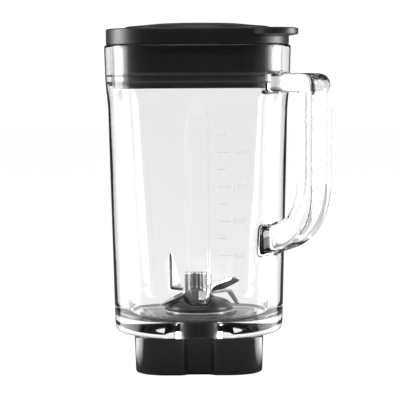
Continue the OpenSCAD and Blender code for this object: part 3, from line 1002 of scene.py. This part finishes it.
@dataclass
class MeasureMarks:
    """Raised volume marks on the front of the glass: bars with plain numbers beside them."""

    left: float = 14.0
    levels: tuple[float, ...] = (172.0, 160.0, 148.0, 136.0, 124.0, 112.0, 100.0, 88.0)
    numbers: tuple[str, ...] = ("", "1400", "", "1200", "", "800", "", "400")
    thick: float = 0.25
    number_shift: float = 10.0
    number_drop: float = 1.8

    def bar(self, bm: bmesh.types.BMesh, jar: GlassJar, span: tuple[float, float], z: float) -> None:
        """Adds one bar with softened ends.

        Args:
            bm: Mesh to add to.
            jar: The jar that carries the bar.
            span: Left and right end.
            z: Height of its middle.
        """
        front = -jar.half(z)
        ends = []
        for x, turn in ((span[0], 1), (span[1], 0)):
            arc = [math.radians(90 + 180 * turn - 30 * k) for k in range(7)]
            ends += [(x + 0.35 * math.cos(a), z + 0.35 * math.sin(a)) for a in arc]
        faces = []
        for depth in (0.05, -self.thick):
            faces.append([bm.verts.new((x * MM, (front + depth) * MM, y * MM)) for x, y in ends])
        bm.faces.new(faces[0])
        bm.faces.new(faces[1])
        n = len(ends)
        for i in range(n):
            bm.faces.new((faces[0][i], faces[0][(i + 1) % n], faces[1][(i + 1) % n], faces[1][i]))

    def build(self, jar: GlassJar, palette: Palette) -> None:
        """Builds the bars and the numbers.

        Args:
            jar: The glass that carries the marks.
            palette: The finishes.
        """
        bm = bmesh.new()
        for k, z in enumerate(self.levels):
            long = bool(self.numbers[k])
            self.bar(bm, jar, (self.left, self.left + (8.0 if long else 5.0)), z)
        piece = new_piece("measure_bars", bm)
        palette.dress(piece, "etched_mark", Body.JAR)
        for z, text in zip(self.levels, self.numbers):
            if text:
                self.number(jar, text, z, palette)

    def number(self, jar: GlassJar, text: str, z: float, palette: Palette) -> None:
        """Adds one number as a thin raised mesh.

        Args:
            jar: The jar that carries the number.
            text: The number.
            z: Height of its middle.
            palette: Finishes.
        """
        curve = bpy.data.curves.new("number", "FONT")
        curve.body, curve.size, curve.extrude, curve.resolution_u = text, 5.2 * MM, 0.12 * MM, 2
        flat = bpy.data.objects.new("number_text", curve)
        bpy.context.scene.collection.objects.link(flat)
        mesh = bpy.data.meshes.new_from_object(flat.evaluated_get(bpy.context.evaluated_depsgraph_get()))
        bpy.data.objects.remove(flat)
        spot = Vector((self.left + self.number_shift, -jar.half(z) - 0.1, z - self.number_drop)) * MM
        mesh.transform(Matrix.Translation(spot) @ Matrix.Rotation(math.radians(90), 4, "X"))
        piece = bpy.data.objects.new("measure_number_" + text, mesh)
        bpy.context.scene.collection.objects.link(piece)
        palette.dress(piece, "etched_mark", Body.JAR)


# ---------------------------------------------------------------- collar


@dataclass
class Collar(Skin):
    """The black collar that carries the jar: rounded corners and a hollow in each side."""

    columns: int = 384
    top_half: float = 46.2
    foot_half: float = 45.4
    corner_r: float = 15.5
    height: float = 27.8
    hollow_half: float = 12.6
    hollow_deep: float = 4.6
    hollow_edge: float = 5.6
    socket_r: float = 38.0
    socket_depth: float = 14.0
    deck_z: float = 22.0
    nut_room_r: float = 27.0
    bore_r: float = 19.5
    groove_r: tuple[float, float] = (23.0, 38.0)
    groove_z: float = 26.8

    def hollow(self, offset: float) -> float:
        """Depth of the hollow at a distance from the middle of a side."""
        return self.hollow_deep * smooth((self.hollow_half - abs(offset)) / self.hollow_edge)

    def outline(self, station: Station, turn: float) -> tuple[float, float]:
        """Point of a ring; the station's detail is the share of the hollow's depth.

        Args:
            station: The ring.
            turn: Direction in degrees.

        Returns:
            The point across the axis.
        """
        r = square_reach(station[0], station[1], turn)
        x, y = r * math.cos(math.radians(turn)), r * math.sin(math.radians(turn))
        if station[3] > 0:
            if abs(x) > abs(y):
                x -= math.copysign(self.hollow(y) * station[3], x)
            else:
                y -= math.copysign(self.hollow(x) * station[3], y)
        return x, y

    def build(self, palette: Palette) -> None:
        """Builds the collar with its deck, gasket groove and socket.

        Args:
            palette: The finishes.
        """
        low, high = self.foot_half, self.top_half
        inner, outer = self.groove_r
        path = [
            (low, self.corner_r - 0.8, 0.0, 1.0, 3.0),
            (high, self.corner_r, self.height, 1.0, 1.4),
            (outer, outer, self.height, 0.0, 0.0),
            (outer, outer, self.groove_z, 0.0, 0.0),
            (inner, inner, self.groove_z, 0.0, 0.0),
            (inner, inner, self.height, 0.0, 0.3),
            (self.bore_r, self.bore_r, self.height, 0.0, 0.4),
            (self.bore_r, self.bore_r, self.deck_z, 0.0, 0.4),
            (self.nut_room_r, self.nut_room_r, self.deck_z, 0.0, 0.6),
            (self.nut_room_r, self.nut_room_r, self.socket_depth, 0.0, 0.5),
            (self.socket_r, self.socket_r, self.socket_depth, 0.0, 1.0),
            (self.socket_r, self.socket_r, 0.0, 0.0, 0.5),
        ]
        piece = self.skin("black_collar", soften(path, 5))
        palette.dress(piece, "black_gloss", Body.JAR, ("base_collar",))


# ---------------------------------------------------------------- blade drive


@dataclass
class DomeHousing(Skin):
    """The black housing that carries the bearings, with a low dome inside the jar."""

    columns: int = 128
    bearing_r: float = 11.0
    neck_r: float = 19.0
    neck_z: float = 14.6
    flange_r: float = 25.2
    flange_z: float = 40.0
    dome_z: float = 51.6
    collar_r: float = 11.2
    collar_h: float = 2.2
    seal_r: float = 8.6
    pocket_z: float = 44.6
    web_bore_r: float = 6.6
    web_z: float = 43.1
    clip_r: float = 11.7
    clip_z: tuple[float, float] = (15.4, 16.6)

    def build(self, palette: Palette) -> None:
        """Builds the housing from its turned profile.

        Args:
            palette: The finishes.
        """
        collar_z = self.dome_z - self.collar_h
        rise, run = collar_z - self.flange_z - 2, self.flange_r - self.collar_r - 3
        rings = [(self.bearing_r, self.neck_z, 0.3), (self.neck_r, self.neck_z, 0.8)]
        rings += [(self.neck_r, self.flange_z, 0.2), (self.flange_r, self.flange_z, 0.3)]
        rings.append((self.flange_r, self.flange_z + 2, 0.5))
        for k in range(1, 9):
            t = math.radians(90 * k / 8)
            z = self.flange_z + 2 + rise * math.sin(t)
            rings.append((self.flange_r - run * (1 - math.cos(t)), z, 0.0))
        rings += [(self.collar_r, collar_z, 0.5), (self.collar_r, self.dome_z, 0.7)]
        rings += [(self.seal_r, self.dome_z, 0.3), (self.seal_r, self.pocket_z, 0.2)]
        rings += [(self.web_bore_r, z, 0.2) for z in (self.pocket_z, self.web_z)]
        rings.append((self.bearing_r, self.web_z, 0.2))
        (clip_low, clip_high), clip_r = self.clip_z, self.clip_r
        rings += [(self.bearing_r, clip_high, 0.0), (clip_r, clip_high, 0.0)]
        rings += [(clip_r, clip_low, 0.0), (self.bearing_r, clip_low, 0.0)]
        piece = self.skin("dome_housing", soften([(r, r, z, 0.0, soft) for r, z, soft in rings]))
        palette.dress(piece, "housing_black", Body.JAR, ("bearing_housing",))


@dataclass(frozen=True)
class Arm:
    """One arm of a blade: where it bends, how far it then runs and how it leans."""

    bend_at: float
    angle: float
    length: float
    bend_wide: float
    tip_wide: float
    twist: float = 0.0


@dataclass
class BladePair:
    """Two arms cut from one plate, bent, twisted and ground along one edge."""

    name: str
    node: str
    z: float
    turn: float
    out_arm: Arm
    back_arm: Arm
    thick: float = 1.6
    root_wide: float = 13.0
    hub_r: float = 8.0
    bend_r: float = 2.4
    grind: float = 2.4

    def width(self, arm: Arm, s: float) -> tuple[float, float]:
        """Low and high edge of an arm at a distance along it.

        Args:
            arm: The arm.
            s: Distance from the axis along it.

        Returns:
            The low and the high edge.
        """
        low, high = -self.root_wide / 2, self.root_wide / 2
        narrow = self.root_wide - arm.bend_wide
        bend_low = low + narrow * 0.3
        if s <= arm.bend_at:
            t = s / arm.bend_at
            low, high = mix(low, bend_low, t), mix(high, bend_low + arm.bend_wide, t)
        else:
            t = min(1.0, (s - arm.bend_at) / arm.length)
            tip_low = bend_low + (arm.bend_wide - arm.tip_wide) * 0.3
            low, high = mix(bend_low, tip_low, t), mix(bend_low + arm.bend_wide, tip_low + arm.tip_wide, t)
            over = s - (arm.bend_at + arm.length - arm.tip_wide * 0.45)
            if over > 0:
                cut = 0.22 * arm.tip_wide * min(1.0, over / (arm.tip_wide * 0.45)) ** 2
                low, high = low + cut, high - cut
        if s < self.hub_r:
            bulge = math.sqrt(self.hub_r**2 - s * s)
            low, high = min(low, -bulge), max(high, bulge)
        return low, high

    def stations(self, arm: Arm) -> list[tuple[float, Matrix]]:
        """Places along an arm.

        Args:
            arm: The arm.

        Returns:
            Distance along the arm and the frame of its section, from the hub to the tip.
        """
        bend, total = math.radians(abs(arm.angle)), arm.bend_at + arm.length
        sign = 1 if arm.angle > 0 else -1
        tangent = self.bend_r * math.tan(bend / 2)
        places: list[tuple[float, Matrix]] = []
        marks = [self.hub_r * math.sin(math.radians(a)) for a in (12, 25, 38, 50, 62, 74, 84)]
        start = arm.bend_at - tangent
        marks += [m for m in (start - 0.01, 9.0, 12.0, 16.0) if self.hub_r < m < start]
        for s in sorted(m for m in marks if m < start):
            places.append((s, Matrix.Translation((s, 0, 0))))
        for k in range(7):
            part = bend * k / 6
            x, z = start + self.bend_r * math.sin(part), self.bend_r * (1 - math.cos(part)) * sign
            frame_here = Matrix.Translation((x, 0, z)) @ Matrix.Rotation(-sign * part, 4, "Y")
            places.append((start + 2 * tangent * k / 6, frame_here))
        straight = total - (arm.bend_at + tangent)
        end = places[-1][1]
        for k in range(1, 13):
            d = straight * k / 12
            twist = math.radians(arm.twist) * smooth(min(1.0, d / 14))
            frame_here = end @ Matrix.Translation((d, 0, 0)) @ Matrix.Rotation(twist, 4, "X")
            places.append((arm.bend_at + tangent + d, frame_here))
        return places

    def section(self, s: float, low: float, high: float) -> list[Vector]:
        """Outline of the plate across an arm, ground thin along its high edge outside the hub.

        Args:
            s: Distance from the axis along the arm.
            low: Low edge.
            high: High edge.

        Returns:
            Eight points.
        """
        half, soft = self.thick / 2, 0.15
        ground = smooth((s - self.hub_r * 0.9) / 4)
        edge = mix(half - soft, -half + 0.25, ground)
        back = mix(soft, min(self.grind, (high - low) * 0.45), ground)
        return [
            Vector((0, low + soft, -half)),
            Vector((0, high - soft, -half)),
            Vector((0, high, -half + 0.12)),
            Vector((0, high, edge)),
            Vector((0, high - back, half)),
            Vector((0, low + soft, half)),
            Vector((0, low, half - soft)),
            Vector((0, low, -half + soft)),
        ]

    def build(self, palette: Palette) -> None:
        """Builds both arms as one closed strip through the hub.

        Args:
            palette: The finishes.
        """
        bm = bmesh.new()
        flip = Matrix.Rotation(math.pi, 4, "Z")
        chain: list[list[Vector]] = []
        for s, place in reversed(self.stations(self.back_arm)):
            ring = [flip @ place @ p for p in self.section(s, *self.width(self.back_arm, s))]
            chain.append([ring[k] for k in (1, 0, 7, 6, 5, 4, 3, 2)])
        for s, place in self.stations(self.out_arm):
            chain.append([place @ p for p in self.section(s, *self.width(self.out_arm, s))])
        lift = Matrix.Translation((0, 0, self.z + self.thick / 2))
        base = lift @ Matrix.Rotation(math.radians(self.turn), 4, "Z")
        rings = [[bm.verts.new((base @ p) * MM) for p in ring] for ring in chain]
        for a, b in zip(rings, rings[1:]):
            for i in range(8):
                bm.faces.new((a[i], a[(i + 1) % 8], b[(i + 1) % 8], b[i]))
        bm.faces.new(rings[0])
        bm.faces.new(rings[-1])
        piece = new_piece(self.name, bm, 28.0)
        palette.dress(piece, "blade_steel", Body.ROTOR, (self.node,))


@dataclass
class FlutedNut(Skin):
    """The closed nut that holds the blades, with long flutes for the spanner."""

    columns: int = 160
    radius: float = 5.2
    base_z: float = 57.0
    height: float = 12.2
    flutes: int = 8
    flute_r: float = 1.1

    def outline(self, station: Station, turn: float) -> tuple[float, float]:
        """Point of a ring; the station's detail is the share of the flutes' depth.

        Args:
            station: The ring.
            turn: Direction in degrees.

        Returns:
            The point across the axis.
        """
        step = 360 / self.flutes
        off = math.radians(turn % step - step / 2)
        r, centre = station[0], self.radius + 0.5
        if station[3] > 0 and abs(centre * math.sin(off)) < self.flute_r:
            cut = centre * math.cos(off) - math.sqrt(self.flute_r**2 - (centre * math.sin(off)) ** 2)
            r = mix(r, min(r, cut), station[3])
        return r * math.cos(math.radians(turn)), r * math.sin(math.radians(turn))

    def build(self, palette: Palette) -> None:
        """Builds the nut from its foot up to its rounded top.

        Args:
            palette: The finishes.
        """
        top, r = self.base_z + self.height, self.radius
        rings = [(1.2, self.base_z, 0.0), (r - 0.15, self.base_z, 0.0), (r, self.base_z + 0.15, 0.0)]
        rings += [(r, self.base_z + 1.3, 0.0), (r, self.base_z + 1.8, 1.0), (r, top - 1.4, 1.0)]
        rings += [(r - 0.1, top - 0.9, 1.0), (r - 0.35, top - 0.45, 1.0), (r - 0.8, top - 0.12, 0.6)]
        rings += [(r - 1.4, top, 0.0), (1.2, top, 0.0)]
        piece = self.skin("fluted_nut", [(a, a, z, d) for a, z, d in rings], tube=False)
        palette.dress(piece, "nut_steel", Body.ROTOR, ("blade_nut",))


# ---------------------------------------------------------------- lid


@dataclass
class LidCover(Skin):
    """The black lid: outer rim with a thumb tab, raised round panel, cap seat and skirt."""

    columns: int = 240
    half: float = 64.9
    corner_r: float = 35.0
    rim_z: float = 234.8
    top_z: float = 246.0
    skirt_half: float = 60.2
    skirt_corner: float = 28.7
    skirt_z: float = 204.2
    wall: float = 2.5
    tab_reach: float = 75.0
    tab_r: float = 18.0
    tab_z: float = 240.6
    panel_r: float = 52.5
    panel_z: float = 248.4
    peak_z: float = 250.4
    cap_gap_r: float = 31.5
    seat_z: float = 246.9
    guide_r: float = 27.0
    guide_z: float = 228.8

    def outline(self, station: Station, turn: float) -> tuple[float, float]:
        """Point of a ring; the station's detail draws the outline out into the tab.

        Args:
            station: The ring.
            turn: Direction in degrees.

        Returns:
            The point across the axis.
        """
        r = square_reach(station[0], station[1], turn)
        off = math.radians((turn - HANDLE_TURN + 180) % 360 - 180)
        if station[3] > 0 and abs(off) < 0.6:
            inset = self.half - station[0]
            tab_r, far = self.tab_r - inset, self.tab_reach
            if abs(far * math.sin(off)) < tab_r:
                tab = far * math.cos(off) + math.sqrt(tab_r**2 - (far * math.sin(off)) ** 2)
            else:
                tab = r
            flow = 0.5 * (tab + r + math.sqrt((tab - r) ** 2 + 6.0)) - 1.2
            r = mix(r, max(r, flow), station[3])
        return r * math.cos(math.radians(turn)), r * math.sin(math.radians(turn))

    def build(self, palette: Palette) -> None:
        """Builds the lid as one closed skin.

        Args:
            palette: The finishes.
        """
        h, c, skirt, sc = self.half, self.corner_r, self.skirt_half, self.skirt_corner
        tube, inner = self.guide_r + self.wall, skirt - self.wall
        path = [
            (h, c, self.rim_z, 0.0, 0.8),
            (h, c, self.tab_z - 0.4, 0.0, 0.4),
            (h, c, self.tab_z + 0.5, 1.0, 0.4),
            (h, c, self.top_z, 1.0, 1.3),
            (h - 4.0, c - 4.0, self.top_z, 0.25, 0.0),
            (self.panel_r + 1.0, self.panel_r + 1.0, self.top_z, 0.0, 0.6),
            (self.panel_r, self.panel_r, self.panel_z, 0.0, 1.0),
            (46.0, 46.0, self.panel_z + 0.55, 0.0, 0.0),
            (39.0, 39.0, self.panel_z + 1.2, 0.0, 0.0),
            (34.0, 34.0, self.panel_z + 1.75, 0.0, 0.0),
            (self.cap_gap_r, self.cap_gap_r, self.peak_z, 0.0, 0.5),
            (self.cap_gap_r, self.cap_gap_r, self.seat_z, 0.0, 0.3),
            (self.guide_r, self.guide_r, self.seat_z, 0.0, 0.6),
            (self.guide_r, self.guide_r, self.guide_z, 0.0, 0.6),
            (tube, tube, self.guide_z, 0.0, 0.6),
            (tube, tube, self.top_z - self.wall, 0.0, 1.0),
            (inner, sc - self.wall, self.top_z - self.wall, 0.0, 1.5),
            (inner, sc - self.wall, self.skirt_z, 0.0, 0.6),
            (skirt, sc, self.skirt_z, 0.0, 0.6),
            (skirt, sc, self.rim_z, 0.0, 0.8),
        ]
        piece = self.skin("lid_cover", soften(path, 4))
        palette.dress(piece, "lid_black", Body.LID, ("lid_shell",))


@dataclass
class SealBand(Skin):
    """The soft band round the skirt's foot, with two lips that meet the glass."""

    columns: int = 240
    inside: tuple[float, float] = (60.25, 28.75)
    height: float = 9.0
    band: tuple[float, float] = (60.9, 29.4)
    lips: tuple[float, float] = (61.85, 30.85)
    low_z: float = 206.2

    def build(self, palette: Palette) -> None:
        """Builds the band with both lips.

        Args:
            palette: The finishes.
        """
        (b, bc), (lip, lc), z = self.band, self.lips, self.low_z
        path = [(*self.inside, z, 0.0, 0.0), (b, bc, z, 0.0, 0.3)]
        for start in (1.2, 6.2):
            path += [
                (b, bc, z + start, 0.0, 0.2),
                (lip, lc, z + start + 0.3, 0.0, 0.25),
                (lip, lc, z + start + 1.1, 0.0, 0.25),
                (b, bc, z + start + 2.0, 0.0, 0.2),
            ]
        path += [(b, bc, z + self.height, 0.0, 0.3), (*self.inside, z + self.height, 0.0, 0.0)]
        piece = self.skin("lid_seal_band", soften(path, 2))
        palette.dress(piece, "black_rubber", Body.LID, ("lid_seal",))


@dataclass
class CapInsert(Skin):
    """The round cap in the lid: a dished disc over a deep cup."""

    columns: int = 160
    disc_r: float = 31.0
    dish_r: float = 25.5
    dish: float = 0.6
    top_z: float = 250.4
    under_z: float = 247.4
    cup_r: float = 26.5
    cup_z: float = 213.4
    wall: float = 1.8

    def build(self, palette: Palette) -> None:
        """Builds the cap from the middle of its top to the middle of its underside.

        Args:
            palette: The finishes.
        """
        inner = self.cup_r - self.wall
        path = [
            (1.5, 1.5, self.top_z - self.dish, 0.0, 0.0),
            (self.dish_r, self.dish_r, self.top_z - self.dish, 0.0, 0.8),
            (self.dish_r + 1.1, self.dish_r + 1.1, self.top_z, 0.0, 0.5),
            (self.disc_r, self.disc_r, self.top_z, 0.0, 0.9),
            (self.disc_r, self.disc_r, self.under_z, 0.0, 0.4),
            (self.cup_r, self.cup_r, self.under_z, 0.0, 0.5),
            (self.cup_r, self.cup_r, self.cup_z, 0.0, 0.6),
            (inner, inner, self.cup_z, 0.0, 0.6),
            (inner, inner, self.under_z, 0.0, 1.5),
            (1.5, 1.5, self.under_z, 0.0, 0.0),
        ]
        piece = self.skin("cap_insert", soften(path), tube=False)
        palette.dress(piece, "lid_black", Body.CAP, ("lid_cap",))


# ---------------------------------------------------------------- studio


@dataclass(frozen=True)
class SoftBox:
    """A rectangular studio light aimed at the jar."""

    name: str
    place: tuple[float, float, float]
    aim: tuple[float, float, float]
    size: tuple[float, float]
    power: float


@dataclass
class Studio:
    """Pale floor, white surround, soft lights and the camera."""

    eye: tuple[float, float, float] = (0.00125, -1.1154, 0.20961)
    pitch: float = 4.4885
    roll: float = -0.321
    lens: float = 137.12
    backdrop: float = 1.06
    floor_glow: float = 0.98
    glare: float = 6.0
    second_look: float = 0.03
    side_loss: float = 0.82
    sides: tuple[tuple[float, float], ...] = ((0.87, 0.01), (0.94, 0.6), (1.0, 0.8))
    behind: tuple[tuple[float, float], ...] = ((0.9, 0.0), (0.99, 0.04))
    behind_glass: tuple[tuple[float, float], ...] = ((0.6, 0.0), (0.74, 0.165))
    overhead: tuple[tuple[float, float], ...] = ((0.45, 0.0), (0.8, 0.06))
    fill: tuple[tuple[float, float], ...] = ((0.0, 0.05), (1.0, 0.12))
    boxes: tuple[SoftBox, ...] = (
        SoftBox("left_strip", (-1.15, 0.0, 0.35), (0, 0, 0.12), (0.5, 1.0), 12.0),
        SoftBox("right_strip", (1.15, 0.0, 0.35), (0, 0, 0.12), (0.5, 1.0), 12.0),
        SoftBox("top_front", (0.0, -0.7, 1.3), (0, 0, 0.15), (1.2, 0.7), 5.0),
    )

    def room(self, kit: NodeKit, way: bpy.types.NodeSocket) -> tuple[bpy.types.NodeSocket, ...]:
        """What mirror-like surfaces see: side lights, a backdrop behind the jar and a ceiling light.

        Args:
            kit: Helper on the tree.
            way: Direction from the jar.

        Returns:
            Brightness of the room, and masks of paths that met a mirror-like and a matt surface.
        """
        path = kit.add("ShaderNodeLightPath")
        shiny = kit.math("MINIMUM", path.outputs["Glossy Depth"], 1.0)
        matt = kit.math("MINIMUM", path.outputs["Diffuse Depth"], 1.0)
        inside = kit.math("MINIMUM", path.outputs["Transmission Depth"], 1.0)
        split = kit.add("ShaderNodeSeparateXYZ")
        kit.join(way, split.inputs[0])
        sideways = kit.ramp(kit.math("ABSOLUTE", split.outputs[0]), list(self.sides))
        sideways = kit.times(sideways, kit.minus(1.0, kit.times(inside, self.side_loss)))
        narrow = kit.ramp(split.outputs[1], list(self.behind))
        half_way = kit.plus(kit.times(split.outputs[1], 0.5), 0.5)
        wide = kit.ramp(half_way, list(self.behind_glass))
        overhead = kit.ramp(split.outputs[2], list(self.overhead))
        seen = kit.math("MAXIMUM", kit.math("MAXIMUM", sideways, kit.blend(inside, narrow, wide)), overhead)
        again = kit.minus(path.outputs["Glossy Depth"], 1.0, clamp=True)
        seen = kit.math("MAXIMUM", seen, kit.times(again, self.second_look))
        return kit.times(seen, self.glare), shiny, matt

    def floor(self) -> None:
        """Adds the pale floor, a little uneven in tone, bright to the eye and dim in reflections."""
        bm = bmesh.new()
        bmesh.ops.create_grid(bm, x_segments=24, y_segments=24, size=6.0)
        piece = new_piece("pale_floor", bm)
        material = bpy.data.materials.new("pale_floor")
        material.use_nodes = True
        material.cycles.emission_sampling = "NONE"
        kit = NodeKit(material.node_tree)
        shader = material.node_tree.nodes["Principled BSDF"]
        where = kit.add("ShaderNodeTexCoord").outputs["Object"]
        cloud = kit.add("ShaderNodeTexNoise", {"Scale": 3.0, "Detail": 3.0})
        kit.join(where, cloud.inputs["Vector"])
        way = kit.add("ShaderNodeVectorMath", operation="NORMALIZE")
        kit.join(where, way.inputs[0])
        room, shiny, matt = self.room(kit, way.outputs[0])
        away = kit.add("ShaderNodeVectorMath", operation="LENGTH")
        kit.join(where, away.inputs[0])
        far = kit.times(kit.minus(away.outputs["Value"], 0.07), 14.0, clamp=True)
        room = kit.times(room, far)
        pale = kit.blend(cloud.outputs[0], (0.86, 0.86, 0.86), (0.9, 0.9, 0.9))
        kit.join(kit.blend(matt, (0.12, 0.12, 0.12), pale), shader.inputs["Base Color"])
        shader.inputs["Roughness"].default_value = 0.9
        shader.inputs["Specular IOR Level"].default_value = 0.0
        shader.inputs["Emission Color"].default_value = (1, 1, 1, 1)
        seen = kit.times(kit.minus(1.0, shiny), self.floor_glow)
        glow = kit.plus(seen, kit.times(room, shiny))
        glow = kit.times(glow, kit.minus(1.0, matt))
        kit.join(glow, shader.inputs["Emission Strength"])
        piece.data.materials.append(material)
        piece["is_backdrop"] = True

    def surround(self) -> None:
        """Lights the world: white to the eye, a dim room in reflections, a soft fill on matt surfaces."""
        world = bpy.data.worlds.new("white_surround")
        bpy.context.scene.world = world
        world.use_nodes = True
        world.cycles.sampling_method = "NONE"
        world.node_tree.nodes.clear()
        kit = NodeKit(world.node_tree)
        way = kit.add("ShaderNodeTexCoord").outputs["Generated"]
        room, shiny, matt = self.room(kit, way)
        split = kit.add("ShaderNodeSeparateXYZ")
        kit.join(way, split.inputs[0])
        light = kit.blend(shiny, (self.backdrop,) * 3, room)
        light = kit.blend(matt, light, kit.ramp(split.outputs[2], list(self.fill)))
        background = kit.add("ShaderNodeBackground")
        kit.join(light, background.inputs["Color"])
        kit.join(background.outputs[0], kit.add("ShaderNodeOutputWorld").inputs["Surface"])

    def lights(self) -> None:
        """Adds the soft boxes."""
        for box in self.boxes:
            lamp = bpy.data.lights.new(box.name, "AREA")
            lamp.shape, lamp.size, lamp.size_y, lamp.energy = "RECTANGLE", box.size[0], box.size[1], box.power
            holder = bpy.data.objects.new(box.name, lamp)
            bpy.context.scene.collection.objects.link(holder)
            holder.location = box.place
            holder.rotation_euler = (Vector(box.aim) - Vector(box.place)).to_track_quat("-Z", "Y").to_euler()
            holder.visible_camera = False
            LOG.info("light %s: %.1f W", box.name, box.power)

    def camera(self) -> None:
        """Adds the camera at its viewing angle."""
        data = bpy.data.cameras.new("camera")
        data.lens, data.sensor_width = self.lens, 36.0
        data.clip_start, data.clip_end = 0.05, 50.0
        holder = bpy.data.objects.new("camera", data)
        bpy.context.scene.collection.objects.link(holder)
        look = Matrix.Rotation(math.radians(90 - self.pitch), 4, "X")
        look = look @ Matrix.Rotation(math.radians(self.roll), 4, "Z")
        holder.matrix_world = Matrix.Translation(self.eye) @ look
        bpy.context.scene.camera = holder

    def build(self) -> None:
        """Builds floor, light and camera."""
        self.floor()
        self.surround()
        self.lights()
        self.camera()
        bpy.context.scene.view_settings.view_transform = "Standard"


def blades() -> list[BladePair]:
    """Sizes of the upper and the lower pair of arms.

    Returns:
        Both pairs.
    """
    rising, steep = Arm(9.2, 22, 30, 12, 6, -24), Arm(22.3, 77, 25.6, 12.5, 3)
    drooping, falling = Arm(25.0, -55, 13, 9.5, 4), Arm(9.2, -20, 23, 12, 5)
    return [
        BladePair("blade_pair_upper", "blade_upper", 54.6, -38.0, rising, steep),
        BladePair("blade_pair_lower", "blade_lower", 53.0, 28.0, drooping, falling),
    ]


def main() -> None:
    """Builds every sub-assembly in order."""
    logging.basicConfig(level=logging.INFO, format="%(message)s", force=True)
    cad_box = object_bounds()
    studio = Studio()
    studio.build()
    palette = Palette()
    palette.dress_carried()
    jar = GlassJar()
    jar.build(palette)
    MeasureMarks().build(jar, palette)
    Collar().build(palette)
    DomeHousing().build(palette)
    for pair in blades():
        pair.build(palette)
    FlutedNut().build(palette)
    LidCover().build(palette)
    SealBand().build(palette)
    CapInsert().build(palette)
    visual_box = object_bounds()
    for label, low, high in (("CAD", *cad_box), ("visual", *visual_box)):
        low_mm, high_mm = ([round(v / MM, 1) for v in spot] for spot in (low, high))
        LOG.info("%s box: %s to %s mm", label, low_mm, high_mm)


if __name__ == "__main__":
    main()
